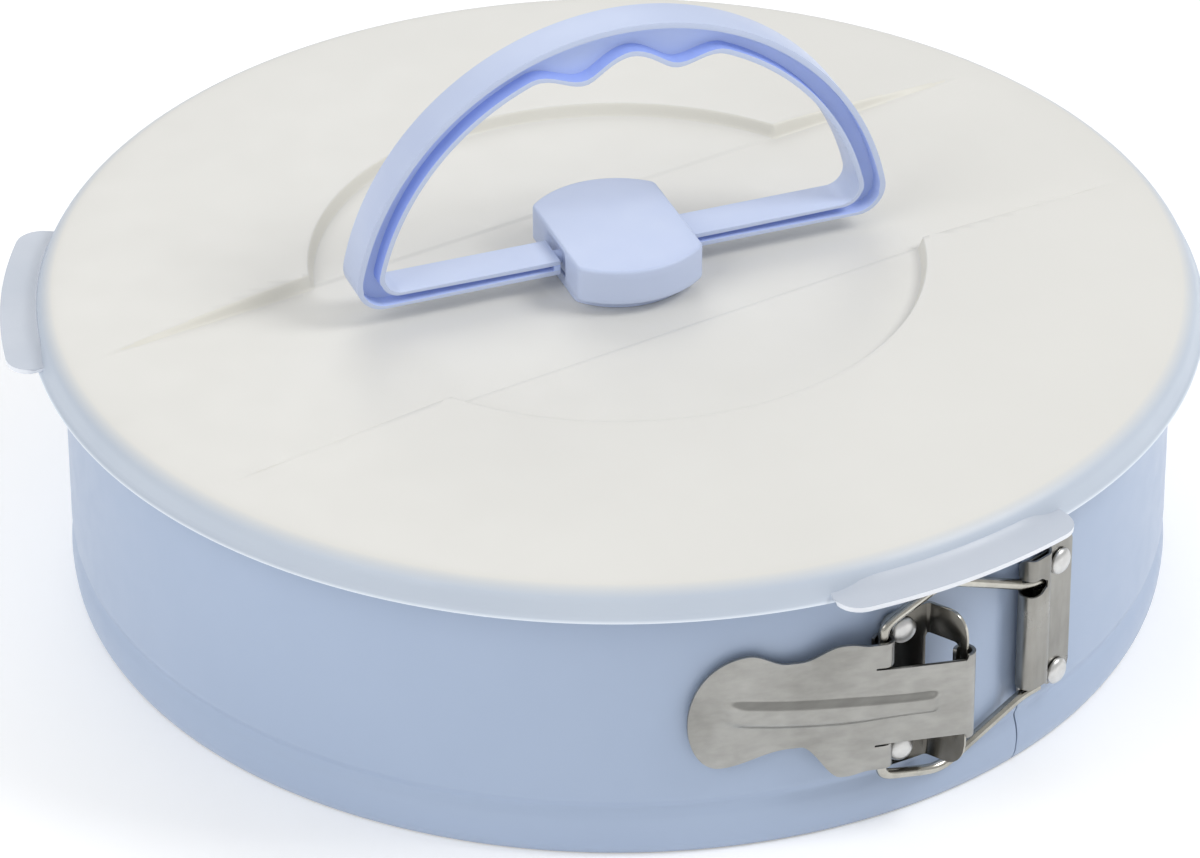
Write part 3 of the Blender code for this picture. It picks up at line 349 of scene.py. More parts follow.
# Painted shade: a near-black copy of the steel for the bracket, which sits in shade.
SHADED_BRACKET_STEEL = make_steel("bracket_steel_painted_shade", (0.16, 0.153, 0.137), (0.095, 0.09, 0.08), 0.24, 0.0, (1, 1, 0.2))
CATCH_STEEL = make_steel("catch_steel", (0.37, 0.362, 0.337), (0.28, 0.273, 0.252), 0.30, 0.0, (1, 1, 0.2))
WIRE_STEEL = make_steel("wire_steel", (0.60, 0.585, 0.53), (0.40, 0.388, 0.345), 0.2)
RIVET_STEEL = make_steel("rivet_steel", (0.72, 0.72, 0.71), (0.65, 0.65, 0.64), 0.38)


# --- meshes ---


def new_object(name, mesh, materials):
    for material in materials:
        mesh.materials.append(material)
    obj = bpy.data.objects.new(name, mesh)
    bpy.context.scene.collection.objects.link(obj)
    return obj


def finished(obj, angle=38.0):
    """Applies the object's modifiers and shades it smooth up to this angle."""
    graph = bpy.context.evaluated_depsgraph_get()
    mesh = bpy.data.meshes.new_from_object(obj.evaluated_get(graph))
    obj.modifiers.clear()
    obj.data = mesh
    mesh.shade_smooth()
    mesh.set_sharp_from_angle(angle=math.radians(angle))
    return obj


def modify(obj, kind, **values):
    modifier = obj.modifiers.new(kind, kind)
    for key, value in values.items():
        setattr(modifier, key, value)
    return modifier


def sheet(name, grids, thickness, materials, edge=0.0):
    """A sheet from grids of points, each a list of columns; a second material is for its rim."""
    mesh = bpy.data.meshes.new(name)
    bm = bmesh.new()
    for columns in grids:
        rows = [[bm.verts.new(point) for point in column] for column in columns]
        for left, right in zip(rows, rows[1:]):
            for i in range(len(left) - 1):
                bm.faces.new((left[i], right[i], right[i + 1], left[i + 1]))
    bmesh.ops.remove_doubles(bm, verts=bm.verts, dist=0.002 * MM)
    bmesh.ops.recalc_face_normals(bm, faces=bm.faces)
    bm.to_mesh(mesh)
    bm.free()
    obj = new_object(name, mesh, materials)
    rim = len(materials) - 1
    modify(obj, "SOLIDIFY", thickness=thickness, offset=0, use_even_offset=True, material_offset_rim=rim)
    if edge:
        modify(obj, "BEVEL", width=edge, segments=2, limit_method="ANGLE", angle_limit=math.radians(50))
    return finished(obj)


def turned(name, profile, material, count, closed=False):
    """A profile of (radius, height) points turned about the pan's axis."""
    mesh = bpy.data.meshes.new(name)
    bm = bmesh.new()
    verts = [bm.verts.new((radius, 0, height)) for radius, height in profile]
    edges = [bm.edges.new(pair) for pair in zip(verts, verts[1:])]
    if closed:
        edges.append(bm.edges.new((verts[-1], verts[0])))
    bmesh.ops.spin(
        bm, geom=verts + edges, axis=(0, 0, 1), cent=(0, 0, 0), angle=2 * math.pi, steps=count, use_merge=True
    )
    bmesh.ops.remove_doubles(bm, verts=bm.verts, dist=0.002 * MM)
    bmesh.ops.recalc_face_normals(bm, faces=bm.faces)
    bm.to_mesh(mesh)
    bm.free()
    return finished(new_object(name, mesh, [material]))


def wire(name, points, material, radius=WIRE):
    curve = bpy.data.curves.new(name, "CURVE")
    curve.dimensions = "3D"
    curve.bevel_depth = radius
    curve.bevel_resolution = 6
    curve.use_fill_caps = True
    line = curve.splines.new("POLY")
    line.points.add(len(points) - 1)
    for target, point in zip(line.points, points):
        target.co = (*point, 1)
    holder = bpy.data.objects.new(name, curve)
    bpy.context.scene.collection.objects.link(holder)
    graph = bpy.context.evaluated_depsgraph_get()
    mesh = bpy.data.meshes.new_from_object(holder.evaluated_get(graph))
    bpy.data.objects.remove(holder)
    bm = bmesh.new()
    bm.from_mesh(mesh)
    bmesh.ops.remove_doubles(bm, verts=bm.verts, dist=0.002 * MM)
    bm.to_mesh(mesh)
    bm.free()
    mesh.materials.clear()
    return finished(new_object(name, mesh, [material]))


def place(obj, body, slot, *nodes):
    """Sets what the piece rides on and what it stands for; its slot is not used."""
    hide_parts(*nodes)
    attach(obj, body)


# --- base plate and ring ---


def make_base():
    profile = [(0, 0.7), (60, 0.7), (118, 0.7), (120.2, 1.0), (121.4, 2.2), (124.6, 5.4), (125.4, 5.85)]
    profile += [(126.9, 5.9), (127.6, 6.45), (129.6, 6.5), (130.1, 6.2), (130.2, 5.6)]
    profile += [(130.0, 5.25), (129.6, 5.2)]
    profile += [(126.2, 5.2), (125.2, 4.9), (121.8, 1.4), (121.2, 0.4), (120.4, 0.0), (60, 0.0), (0, 0.0)]
    obj = turned("base_plate_fine", [(r * MM, z * MM) for r, z in profile], CREAM, 144)
    place(obj, "base", "base_coating", "base_plate")


def ring_section():
    low = [(WALL_MIDDLE - inset * MM, height * MM) for inset, height in BEAD_SECTION]
    section = [(point.x, point.y) for point in spline([Vector((r, z, 0)) for r, z in low], 3)]
    section += [(WALL_MIDDLE, height) for height in steps(TONGUE_LOW, TONGUE_HIGH, 8 * MM)[1:]]
    centre = RING_TOP - CURL - WALL_SHEET / 2
    for angle in range(180, -121, -20):
        turn = math.radians(angle)
        radius = WALL_MIDDLE + CURL * (1 + math.cos(turn))
        section.append((radius, centre + CURL * math.sin(turn)))
    return section


def joggle(azimuth, height):
    inside = TONGUE_LOW - 0.01 * MM <= height <= TONGUE_HIGH + 0.01 * MM
    return JOGGLE_DEPTH * smooth(azimuth, *JOGGLE) if inside else 0.0


def ring_column(azimuth, section, pressed=False):
    return [polar(r - (joggle(azimuth, z) if pressed else 0.0), azimuth, z) for r, z in section]


def make_ring():
    section = ring_section()
    azimuths = steps(BACK + 0.14 - 360, JOGGLE[0], 1.5) + steps(JOGGLE[0], LEFT_EDGE, 0.3)[1:]
    band = [ring_column(azimuth, section, True) for azimuth in azimuths]
    plain = [
        point
        for point in section
        if TONGUE_LOW - 0.01 * MM <= point[1] <= TONGUE_HIGH + 0.01 * MM
        and abs(point[0] - WALL_MIDDLE) < 0.01 * MM
    ]
    tongue = [ring_column(azimuth, plain, True) for azimuth in steps(LEFT_EDGE, TONGUE_END, 0.6)]
    left = sheet("ring_left_fine", [band, tongue], WALL_SHEET, [BLUE])
    place(left, "band_left", "blue_wall", "ring_band_left")
    band = [ring_column(azimuth, section) for azimuth in steps(SEAM, BACK - 0.14, 1.5)]
    right = sheet("ring_right_fine", [band], WALL_SHEET, [BLUE])
    place(right, "band_right", "blue_wall", "ring_band_right")


# --- latch ---


def make_rivets():
    rows = (
        ("lever_bracket_rivet_upper", "band_left"),
        ("lever_bracket_rivet_lower", "band_left"),
        ("catch_rivet_upper", "band_right"),
        ("catch_rivet_lower", "band_right"),
    )
    for node, body in rows:
        low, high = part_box(node)
        middle = (Vector(low) + Vector(high)) / 2
        azimuth = math.degrees(math.atan2(middle.y, middle.x))
        tail = 129.85 * MM
        outer = max(Vector((x, y, 0)).length for x in (low[0], high[0]) for y in (low[1], high[1]))
        seat = 132.4 * MM if body == "band_left" else 133.1 * MM
        top = min(seat + 1.55 * MM, outer)
        drops = ((1.0, 0.04), (1.9, 0.22), (2.6, 0.5), (3.05, 0.9), (3.25, 1.25))
        profile = [(0, top)] + [(radius * MM, top - drop * MM) for radius, drop in drops]
        profile += [(3.22 * MM, seat), (1.4 * MM, seat)]
        profile += [(1.4 * MM, 130.2 * MM), (2.4 * MM, 130.2 * MM), (2.4 * MM, tail), (0, tail)]
        obj = turned(f"{node}_fine", profile, RIVET_STEEL, 40)
        outward = polar(1, azimuth).to_track_quat("Z", "Y").to_matrix().to_4x4()
        obj.data.transform(Matrix.Translation((0, 0, middle.z)) @ outward)
        place(obj, body, "rivet_steel", node)


def make_lever_bracket():
    """The plate on the wall, its bend, and the windowed flange with the hinge strip."""
    wall = 131.7 * MM
    bend_azimuth = -91.2
    bend_radius = 1.4 * MM
    half = 20.6 * MM
    strip = 0.95 * MM
    path = []
    for azimuth in steps(-96.3, bend_azimuth, 0.5):
        corner = max(0.0, 1 - (azimuth + 96.3) / 1.2)
        path.append((polar(wall, azimuth), half - 2.6 * MM * (1 - math.sqrt(1 - corner * corner))))
    first = len(path) - 1
    outward = polar(1, bend_azimuth)
    centre = outward * (wall + bend_radius)
    reach = PIVOT - centre
    lean = math.asin(bend_radius / reach.length)
    flange = (Matrix.Rotation(-lean, 4, "Z") @ reach).normalized()
    length = reach.length * math.cos(lean)
    bend = outward.angle(Matrix.Rotation(math.radians(-90), 4, "Z") @ flange)
    for i in range(1, 9):
        path.append((centre - Matrix.Rotation(-bend * i / 8, 4, "Z") @ (outward * bend_radius), half))
    stations = steps(0, length - strip, 0.5 * MM)[1:]
    last = len(path) + len(stations) - 1
    for distance in stations + steps(length - strip, length + strip, 0.38 * MM)[1:]:
        share = max(0.0, 2 * distance / (length + strip) - 1)
        corner = 6.6 * MM * (1 - math.sqrt(max(1 - share * share, 0.0)))
        path.append((PIVOT + flange * (distance - length), half - corner))
    columns = []
    for i, (point, reach) in enumerate(path):
        share = min(max((i - first) / (last - first), 0), 1)
        hole = 12.6 * MM - 0.8 * MM * (1 - smooth(share, 0, 0.12)) - 0.8 * MM * smooth(share, 0.88, 1)
        upper = [hole / 2, hole, (reach + hole) / 2, reach]
        heights = [-height for height in reversed(upper)] + [0] + upper
        columns.append([point + Vector((0, 0, LATCH_Z + height)) for height in heights])
    above = [column[6:] for column in columns[first : last + 1]]
    below = [column[:3] for column in columns[first : last + 1]]
    grids = [columns[: first + 1], columns[last:], above, below]
    # The sheet takes the darker bracket steel as painted shade; its cut rim keeps the brighter wire steel.
    obj = sheet("lever_bracket_fine", grids, SHEET, [SHADED_BRACKET_STEEL, WIRE_STEEL], 0.1 * MM)
    place(obj, "band_left", "latch_steel", "lever_bracket")


def lever_edge(along, waist, thumb_at, thumb, side):
    """One long edge of the lever: shoulder, waist and thumb."""
    if along > thumb_at:
        reach = (along - thumb_at) / (LEVER_LENGTH - thumb_at)
        return LEVER_TIP + (thumb - LEVER_TIP) * math.sqrt(max(1 - reach * reach, 0.0))
    shoulder = side * (SHOULDER_ROW - 0.9 * smooth(along, 27.0, 22.0))
    edge = shoulder + (waist - shoulder) * smooth(along, 28.5, 38.0)
    return edge + (thumb - waist) * smooth(along, 41.0, thumb_at)


def lever_point(along, row):
    """(height, stand-out) of the lever's face in millimetres: along from the pivot, row across."""
    top = lever_edge(along, 14.6, *THUMB_TOP, 1)
    bottom = lever_edge(along, -8.2, *THUMB_BOTTOM, -1)
    beyond = min(max((along - SLIT_END) / (LEVER_BEAD_END - SLIT_END), 0.0), 1.0)
    centre = LEVER_BEAD_RISE * beyond * beyond
    centre += (LEVER_TIP - LEVER_BEAD_RISE) * smooth(along, LEVER_BEAD_END, LEVER_LENGTH)
    edge = top if row > 0 else bottom
    bead = math.copysign(min(3.0 + 0.8 * smooth(along, 12.0, 30.0), abs(edge - centre) * 0.6), row)
    across = abs(row) / BEAD_ROW
    if across <= 1:
        height = centre + bead * across
    else:
        share = (abs(row) - BEAD_ROW) / (SHOULDER_ROW - BEAD_ROW)
        height = (centre + bead) * (1 - share) + edge * share
    ends = smooth(along, 6.0, 7.8) * (1 - smooth(along, 50.0, 56.5))
    rib = (1 - smooth(across, 0.42, 1.0)) * ends
    swell = 0.35 * smooth(along, 52.0, 62.0)
    return height, 1.25 * rib - swell


def curl_column(centre, inward, forward, turn, heights):
    angle = math.radians(turn)
    offset = -inward * math.cos(angle) + forward * math.sin(angle)
    return [centre + offset * CURL_RADIUS + Vector((0, 0, height)) for height in heights]


def make_lever():
    forward = (PIVOT - LEVER_BAR).normalized()
    inward = Vector((-forward.y, forward.x, 0))
    face = PIVOT - inward * CURL_RADIUS
    bar = (PIVOT - LEVER_BAR).length / MM

    def column(along, rows):
        points = []
        for row in rows:
            height, out = lever_point(along, row)
            point = face - forward * along * MM - inward * out * MM
            points.append(point + Vector((0, 0, LATCH_Z + height * MM)))
        return points

    half = [0.6, 1.2, 1.8, 2.3, 2.8, 3.3, 3.8, 4.2, BEAD_ROW, 5.4, 6.8, 9.0, 11.2, 11.7]
    half += [13.2, 14.8, 16.4, SHOULDER_ROW]
    rows = [-row for row in reversed(half)] + [0.0] + half
    tongue_rows = [row for row in rows if abs(row) <= 11.2]
    thumb = THUMB_BOTTOM[0]
    body = [column(along, rows) for along in steps(SLIT_END, thumb, 0.8)]
    rest = LEVER_LENGTH - thumb
    body += [column(thumb + rest * math.sin(math.radians(angle)), rows) for angle in range(5, 90, 5)]
    tongue = [column(along, tongue_rows) for along in steps(20.8, 0.0, 0.8)]
    turns = [255.0 * i / 26 for i in range(1, 27)]
    heights = [LATCH_Z + row * MM for row in tongue_rows]
    tongue += [curl_column(PIVOT, inward, forward, turn, heights) for turn in turns]
    grids = [body, tongue]
    for side in (-1, 1):
        tab_rows = sorted(side * row for row in half if row > 11.2)
        tab = [column(along, tab_rows) for along in steps(20.8, bar, 0.7)]
        heights = [point.z for point in tab[-1]]
        tab += [curl_column(LEVER_BAR, inward, forward, turn, heights) for turn in turns]
        grids.append(tab)
    obj = sheet("latch_lever_fine", grids, SHEET, [LEVER_STEEL], 0.13 * MM)
    place(obj, "lever", "latch_steel", "latch_lever")


def make_bail():
    along = (CATCH_BAR - LEVER_BAR).normalized()
    length = (CATCH_BAR - LEVER_BAR).length / MM
    arm = [(0, 0), (0, 16.5), (0.35, 19.6), (2.4, 21.0), (13.0, 24.3), (16.0, 24.9), (18.9, 24.7)]
    arm += [(21.4, 23.7), (40.6, 15.1), (length + 1.25, 14.4)]

    def side(sign):
        points = []
        for distance, half in arm:
            points.append(LEVER_BAR + along * distance * MM + Vector((0, 0, LATCH_Z + sign * half * MM)))
        return points

    path = list(reversed(side(1))) + side(-1)[1:]
    obj = wire("bail_wire_fine", rounded(path, 2.4 * MM), WIRE_STEEL)
    place(obj, "bail", "latch_steel", "bail_wire")
    low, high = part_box("bail_catch_bar")
    ends = [CATCH_BAR + Vector((0, 0, height)) for height in (low[2], high[2])]
    obj = wire("bail_catch_bar_fine", ends, WIRE_STEEL)
    place(obj, "band_right", "latch_steel", "bail_catch_bar")


def make_catch():
    """The folded catch: leg on the wall, round fold with a corner slot, cover, and riveted foot."""
    leg = 131.6 * MM
    foot = 132.5 * MM
    cover = 136.4 * MM
    fold = (cover - leg) / 2
    fold_azimuth = -78.8
    slot = (LATCH_Z + BAIL_HALF - 1.7 * MM, LATCH_Z + BAIL_HALF + 2.6 * MM)
    path = []
    for azimuth in steps(-71.6, fold_azimuth, 0.6):
        path.append((polar(leg, azimuth), 18.2 * MM, 55.0 * MM))
    first = len(path)
    centre = polar(leg + fold, fold_azimuth)
    outward = polar(1, fold_azimuth)
    left = Vector((outward.y, -outward.x, 0))
    for turn in range(15, 180, 15):
        angle = math.radians(turn)
        point = centre - outward * fold * math.cos(angle) + left * fold * math.sin(angle) * 0.8
        path.append((point, 23.4 * MM, (55.0 + 3.5 * smooth(turn, 0, 120)) * MM))
    for azimuth in steps(fold_azimuth, -77.4, 0.25):
        path.append((polar(cover, azimuth), 23.4 * MM, 58.5 * MM))
    last = len(path) - 1
    for azimuth in steps(-77.4, -71.6, 0.25)[1:]:
        radius = cover + (foot - cover) * smooth(azimuth, -77.3, -75.0)
        low = 23.4 - 5.0 * smooth(azimuth, -77.6, -74.6)
        corner = max(0.0, (azimuth + 73.4) / 1.8)
        round_off = 3.6 * (1 - math.sqrt(max(0.0, 1 - corner * corner)))
        path.append((polar(radius, azimuth), (low + round_off) * MM, (58.5 - round_off) * MM))
    columns = []
    for i, (point, low, high) in enumerate(path):
        share = (i - first) / (last - first)
        pinch = 1.3 * MM * smooth(share, 0.78, 1.0) if 0 <= share <= 1 else 0.0
        inner = (slot[0] + pinch, slot[1] - pinch)
        heights = [*steps(low, inner[0], 6 * MM), *steps(*inner, 3 * MM)[1:-1]]
        heights += steps(inner[1], high, 6 * MM)
        columns.append((point, low, inner, high))
    rows = []
    for point, low, inner, high in columns:
        heights = [low + (inner[0] - low) * i / 6 for i in range(7)]
        heights += [inner[0] + (inner[1] - inner[0]) * i / 2 for i in (1, 2)]
        heights += [inner[1] + (high - inner[1]) * i / 3 for i in (1, 2, 3)]
        rows.append([point + Vector((0, 0, height)) for height in heights])
    above = [row[8:] for row in rows[first : last + 1]]
    below = [row[:7] for row in rows[first : last + 1]]
    grids = [rows[: first + 1], rows[last:], above, below]
    obj = sheet("catch_bracket_fine", grids, 0.6 * MM, [CATCH_STEEL], 0.09 * MM)
    place(obj, "band_right", "latch_steel", "catch_bracket")


# --- lid ---


def dome(radius):
    return LID_CROWN - (LID_CROWN - LID_EDGE[1]) * (radius / LID_EDGE[0]) ** 2


def let_in(height, inside, floor):
    """Lowers a height to a recess's floor where inside is negative, with a short wall."""
    wall = smooth(inside, -RECESS_WALL, 0.0)
    return height * wall + min(height, floor) * (1 - wall)


def lid_top(x, y):
    """The lid's top surface: the dome, let in for the folded handle."""
    radius = math.hypot(x, y)
    height = let_in(dome(radius), radius - CIRCLE_RADIUS, CIRCLE_FLOOR)
    height = let_in(height, abs(y) - BAND_HALF, BAND_FLOOR)
    boss = 1 - smooth(radius, 18.5 * MM, 20.5 * MM)
    return height + (CIRCLE_FLOOR - 0.15 * MM - height) * boss


def lid_mesh():
    radii = [7.4, 12, 17, 18.5, 19.5, 20.5, 24, 30, 36, 42, 48, 54, 60, 65, 68.5]
    radii += steps(71.3, 73.1, 0.27) + [74.5, 78, 83, 88, 93, 98, 103, 108, 113, 117]
    radii += [120.5, 123.5, 126, 128, 129.7]
    rings = [(radius * MM, dome(radius * MM)) for radius in radii]
    rings += [(point.x * MM, point.y * MM) for point in spline([Vector((r, z, 0)) for r, z in SHOULDER], 2)]
    count = 240
    mesh = bpy.data.meshes.new("lid_fine")
    bm = bmesh.new()
    loops = []
    for radius, height in rings:
        loops.append([bm.verts.new(polar(radius, 360 * i / count, height)) for i in range(count)])
    for inner, outer in zip(loops, loops[1:]):
        for i in range(count):
            j = (i + 1) % count
            bm.faces.new((inner[i], outer[i], outer[j], inner[j]))
    for inset in steps(0.0, RECESS_WALL, 0.27 * MM):
        for side in (-1, 1):
            bmesh.ops.bisect_plane(
                bm,
                geom=[*bm.verts, *bm.edges, *bm.faces],
                plane_co=(0, side * (BAND_HALF - inset), 0),
                plane_no=(0, 1, 0),
                dist=0.001 * MM,
            )
    for vert in bm.verts:
        if math.hypot(vert.co.x, vert.co.y) < LID_EDGE[0] - 0.1 * MM:
            vert.co.z = lid_top(vert.co.x, vert.co.y)
    bmesh.ops.recalc_face_normals(bm, faces=bm.faces)
    if sum(face.normal.z * face.calc_area() for face in bm.faces) < 0:
        bmesh.ops.reverse_faces(bm, faces=bm.faces)
    # Steep faces of the top, the recess walls, get the yellower tint that stands in for their shading:
    # painted shade.
    for face in bm.faces:
        if face.normal.z < 0.9 and face.calc_center_median().xy.length < LID_EDGE[0]:
            face.material_index = 1
    bm.to_mesh(mesh)
    bm.free()
    return mesh


def make_lid():
    obj = new_object("lid_fine", lid_mesh(), [FROSTED, SHADED_RECESS])
    modify(obj, "SOLIDIFY", thickness=LID_SHEET, offset=-1, use_even_offset=True, thickness_clamp=0.4)
    place(finished(obj, 55), "lid", "frosted_lid", "lid")
    for i, azimuth in enumerate(TAB_AZIMUTHS):
        make_tab(f"lid_tab_{i}", azimuth)


def make_tab(name, azimuth):
    """A lift tab, flaring from the skirt in a wide fillet, with round corners and a thin rim."""
    angles = [TAB_HALF_ANGLE * math.sin(math.radians(turn)) for turn in steps(-90, 90, 5)]
    columns = []
    for angle in angles:
        corner = max(0.0, (abs(angle) - TAB_HALF_ANGLE + TAB_CORNER_ANGLE) / TAB_CORNER_ANGLE)
        reach = TAB_REACH - 6.0 * (1 - math.sqrt(max(0.0, 1 - corner * corner)))
        fillet = 2.2 * (1 - smooth(abs(angle), 8.0, 12.8))
        column = []
        for share in (0, 0.05, 0.1, 0.16, 0.23, 0.31, 0.4, 0.52, 0.68, 0.84, 0.95, 1.0):
            radius = TAB_ROOT + (reach - TAB_ROOT) * share
            height = TAB_HEIGHT + fillet * math.exp(-(radius - TAB_ROOT) / 2.4) - 0.25 * share
            column.append(polar(radius * MM, azimuth + angle, height * MM))
        columns.append(column)
    # The tab's face takes the painted shade colour and its rim the painted highlight colour.
    obj = sheet(name, [columns], 1.2 * MM, [SHADED_TAB, TAB_EDGE_HIGHLIGHT], 0.4 * MM)
    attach(obj, "lid")


# --- hub and handle ---


def arc(centre, radius, start, end, count):
    """Points on a circle, from start to end degrees from the +X direction."""
    turns = [math.radians(start + (end - start) * i / count) for i in range(count + 1)]
    return [(centre[0] + radius * math.cos(turn), centre[1] + radius * math.sin(turn)) for turn in turns]


def hub_outline(inset):
    """A circle with two flat sides that face the bars, in millimetres, shrunk by inset."""
    corner = max(HUB_CORNER - inset, 0.1)
    across = HUB_FLAT - inset - corner
    along = math.sqrt((HUB_RADIUS - inset - corner) ** 2 - across * across)
    meet = math.degrees(math.atan2(along, across))
    side = arc((across, -along), corner, -meet, 0, 6)[:-1]
    side += [(HUB_FLAT - inset, -along + 2 * along * i / 40) for i in range(41)]
    side += arc((across, along), corner, 0, meet, 6)[1:]
    half = side + arc((0, 0), HUB_RADIUS - inset, meet, 180 - meet, 30)[1:-1]
    turn = Matrix.Rotation(math.radians(HUB_TURN), 2)
    return [turn @ Vector(point) * sign for sign in (1, -1) for point in half]


def make_hub():
    """The cap: a soft-cornered block with a flat underside, its walls scooped at the bars."""
    levels = [(0.45, 79.4), (0.12, 79.55), (0.0, 79.9), (0.0, 81.0), (0.0, 82.5), (0.0, 84.0), (0.0, 85.0)]
    levels += [(0.0, 86.0), (0.0, 87.6), (0.1, 87.95), (0.35, 88.2), (0.8, 88.3), (5.0, 88.32), (12.0, 88.34)]
    mesh = bpy.data.meshes.new("hub_cap_fine")
    bm = bmesh.new()
    loops = []
    bar = polar(1, HUB_TURN).xy
    for inset, height in levels:
        loop = []
        for point in hub_outline(inset):
            across = abs(point.x * bar.y - point.y * bar.x)
            scoop = (1 - smooth(across, 4.6, 7.0)) * (1 - smooth(height, 84.9, 87.0)) * 1.3
            if abs(point.dot(bar)) > HUB_FLAT - 1.5:
                point = point - bar * math.copysign(scoop, point.dot(bar))
            loop.append(bm.verts.new((*(point * MM), height * MM)))
        loops.append(loop)
    for lower, upper in zip(loops, loops[1:]):
        for i in range(len(lower)):
            j = (i + 1) % len(lower)
            bm.faces.new((lower[i], lower[j], upper[j], upper[i]))
    bm.faces.new(reversed(loops[0]))
    bm.faces.new(loops[-1])
    bm.to_mesh(mesh)
    bm.free()
    obj = finished(new_object("hub_cap_fine", mesh, [PLASTIC]), 50)
    place(obj, "hub", "blue_plastic", "hub_cap")
    for node, material in (("hub_foot", PLASTIC), ("hub_washer", CATCH_STEEL), ("hub_screw", CATCH_STEEL)):
        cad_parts[node].material_slots[0].material = material


def finger_bump(angle):
    """How far the finger grips stand in from the arch, at degrees from the top."""
    depth = 0.0
    for centre, half, height in ((-9.8, 12.0, 6.0), (13.0, 11.3, 5.1), (2.0, 9.0, 1.4)):
        share = min(abs(angle - centre) / half, 1)
        depth += height * math.cos(share * math.pi / 2) ** 2
    return depth


def corner_place(reach, height):
    rise = height - HANDLE_CENTRE
    across = math.sqrt(reach * reach - rise * rise)
    return (across, height), math.degrees(math.atan2(rise, across))


def handle_stations():
    """(outer, inner, pocket depth) along the handle, from its right bar's end to its left one."""
    (ox, oz), outer_meet = corner_place(HANDLE_RADIUS - 7.0, BAR_LOW + 7.0)
    (ix, iz), inner_meet = corner_place(HANDLE_INNER - 4.5, BAR_HIGH + 4.5)
    right = [((BAR_END, BAR_LOW), (BAR_END, BAR_HIGH), 0.0)]
    for share in (0.0, 0.001, 0.2, 0.4, 0.6, 0.8):
        start = BAR_END + 1.5
        x = start + (ox - start) * share
        y = start + (ix - start) * share
        right.append(((x, BAR_LOW), (y, BAR_HIGH), 0.0 if share == 0 else 1.0))
    for i in range(13):
        t = i / 12
        a = math.radians(-90 + (outer_meet + 90) * t)
        b = math.radians(-90 + (inner_meet + 90) * t)
        outer = (ox + 7.0 * math.cos(a), oz + 7.0 * math.sin(a))
        inner = (ix + 4.5 * math.cos(b), iz + 4.5 * math.sin(b))
        right.append((outer, inner, 1.0))
    arch = []
    for t in steps(0, 1, 0.01)[1:-1]:
        a = math.radians(outer_meet + (180 - 2 * outer_meet) * t)
        degrees = inner_meet + (180 - 2 * inner_meet) * t
        b = math.radians(degrees)
        radius = HANDLE_INNER - finger_bump(90 - degrees)
        outer = (HANDLE_RADIUS * math.cos(a), HANDLE_CENTRE + HANDLE_RADIUS * math.sin(a))
        inner = (radius * math.cos(b), HANDLE_CENTRE + radius * math.sin(b))
        arch.append((outer, inner, 1.0))
    left = [((-o[0], o[1]), (-i[0], i[1]), depth) for o, i, depth in reversed(right)]
    return right + arch + left


def handle_section(outer, inner, depth, arch):
    """The I section at a station, as points in the handle's plane and across it."""
    outer, inner = Vector(outer), Vector(inner)
    height = (inner - outer).length
    across = (inner - outer).normalized()
    lip = 1.45 if arch else 1.15
    far = height - (1.3 if arch else 1.1)
    half = 5.0
    web = half - (half - 1.1) * depth
    points = [(0, half), (lip, half), (lip + 0.12, web), (far - 0.12, web), (far, half), (height, half)]
    points += [(u, -w) for u, w in reversed(points)]
    return [(outer + across * u, w) for u, w in points]


def make_handle():
    turn = Matrix.Rotation(math.radians(HUB_TURN), 4, "Z")
    stations = handle_stations()
    mesh = bpy.data.meshes.new("handle_fine")
    bm = bmesh.new()
    loops = []
    for outer, inner, depth in stations:
        arch = min(outer[1], inner[1]) > BAR_HIGH + 1
        section = handle_section(outer, inner, depth, arch)
        loops.append([bm.verts.new(turn @ Vector((p.x, -w, p.y)) * MM) for p, w in section])
    # Faces of the pocket walls and web get the painted shade materials: deeper blue on the web and outer
    # lips, deepest on the inner lips.
    pocket_shade_faces = {1: 1, 2: 1, 3: 2, 7: 2, 8: 1, 9: 1}
    for first, second in zip(loops, loops[1:]):
        for i in range(len(first)):
            j = (i + 1) % len(first)
            face = bm.faces.new((first[i], first[j], second[j], second[i]))
            face.material_index = pocket_shade_faces.get(i, 0)
    bm.faces.new(reversed(loops[0]))
    bm.faces.new(loops[-1])
    axis = (BAR_LOW + BAR_HIGH) / 2
    for side in (-1, 1):
        along = Matrix.Rotation(math.pi / 2, 4, "Y")
        matrix = turn @ Matrix.Translation((side * 14.5 * MM, 0, axis * MM)) @ along
        bmesh.ops.create_cone(
            bm, cap_ends=True, segments=24, radius1=1.6 * MM, radius2=1.6 * MM, depth=9.8 * MM, matrix=matrix
        )
    bmesh.ops.recalc_face_normals(bm, faces=bm.faces)
    bm.to_mesh(mesh)
    bm.free()
    obj = new_object("handle_fine", mesh, [PLASTIC, POCKET_SHADE, POCKET_DEEP_SHADE])
    modify(obj, "BEVEL", width=0.35 * MM, segments=3, limit_method="ANGLE", angle_limit=math.radians(55))
    place(finished(obj, 40), "handle", "blue_plastic", "handle")


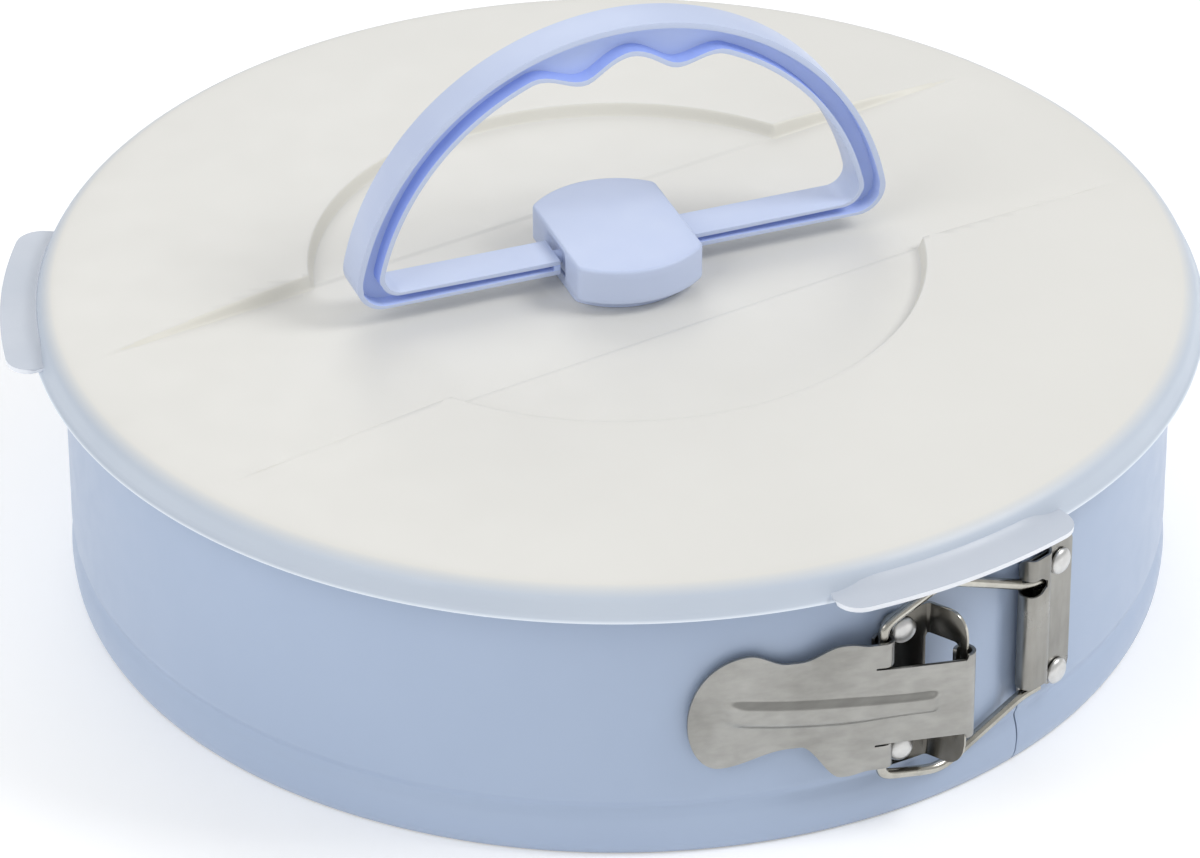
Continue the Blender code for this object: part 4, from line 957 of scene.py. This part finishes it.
# --- stage ---


def add_light(name, place_at, energy, size, colour=(1, 1, 1)):
    light = bpy.data.lights.new(name, "AREA")
    light.energy = energy
    light.size = size
    light.color = colour
    obj = bpy.data.objects.new(name, light)
    obj.location = place_at
    obj.rotation_euler = (Vector((0, 0, 0.04)) - Vector(place_at)).to_track_quat("-Z", "Y").to_euler()
    bpy.context.scene.collection.objects.link(obj)


def make_stage():
    mesh = bpy.data.meshes.new("floor")
    bm = bmesh.new()
    bmesh.ops.create_grid(bm, x_segments=4, y_segments=4, size=3.0)
    bm.to_mesh(mesh)
    bm.free()
    n = Nodes("floor", 0.7, Emission_Color=(1, 1, 1, 1), Emission_Strength=0.19)
    colour = n.ramp(n.noise(3.0), (0.3, (0.92, 0.92, 0.92)), (0.7, (0.94, 0.94, 0.94)))
    floor = new_object("floor", mesh, [n.done(colour)])
    world = bpy.data.worlds.new("studio")
    world.use_nodes = True
    world.node_tree.nodes["Background"].inputs["Color"].default_value = (1, 1, 1, 1)
    world.node_tree.nodes["Background"].inputs["Strength"].default_value = 0.56
    bpy.context.scene.world = world
    bpy.context.scene.view_settings.view_transform = "Standard"
    add_light("key", (0.75, -0.65, 1.1), 8.0, 0.5)
    add_light("fill", (-1.15, -0.15, 0.9), 6.3, 1.0)
    add_light("back", (0.4, 1.2, 1.0), 4.5, 1.0)


def make_camera():
    camera = bpy.data.cameras.new("camera")
    camera.sensor_width = 36
    camera.lens = 203.8
    obj = bpy.data.objects.new("camera", camera)
    eye = Vector((-0.7411, -1.1555, 0.9016))
    aim = Vector((-0.00352, 0.00224, 0.03136))
    look = (aim - eye).to_track_quat("-Z", "Y")
    obj.location = eye
    obj.rotation_euler = (look.to_matrix() @ Matrix.Rotation(-0.0034, 3, "Z")).to_euler()
    bpy.context.scene.collection.objects.link(obj)
    bpy.context.scene.camera = obj


make_base()
make_ring()
make_rivets()
make_lever_bracket()
make_lever()
make_bail()
make_catch()
make_lid()
make_hub()
make_handle()
make_stage()
make_camera()
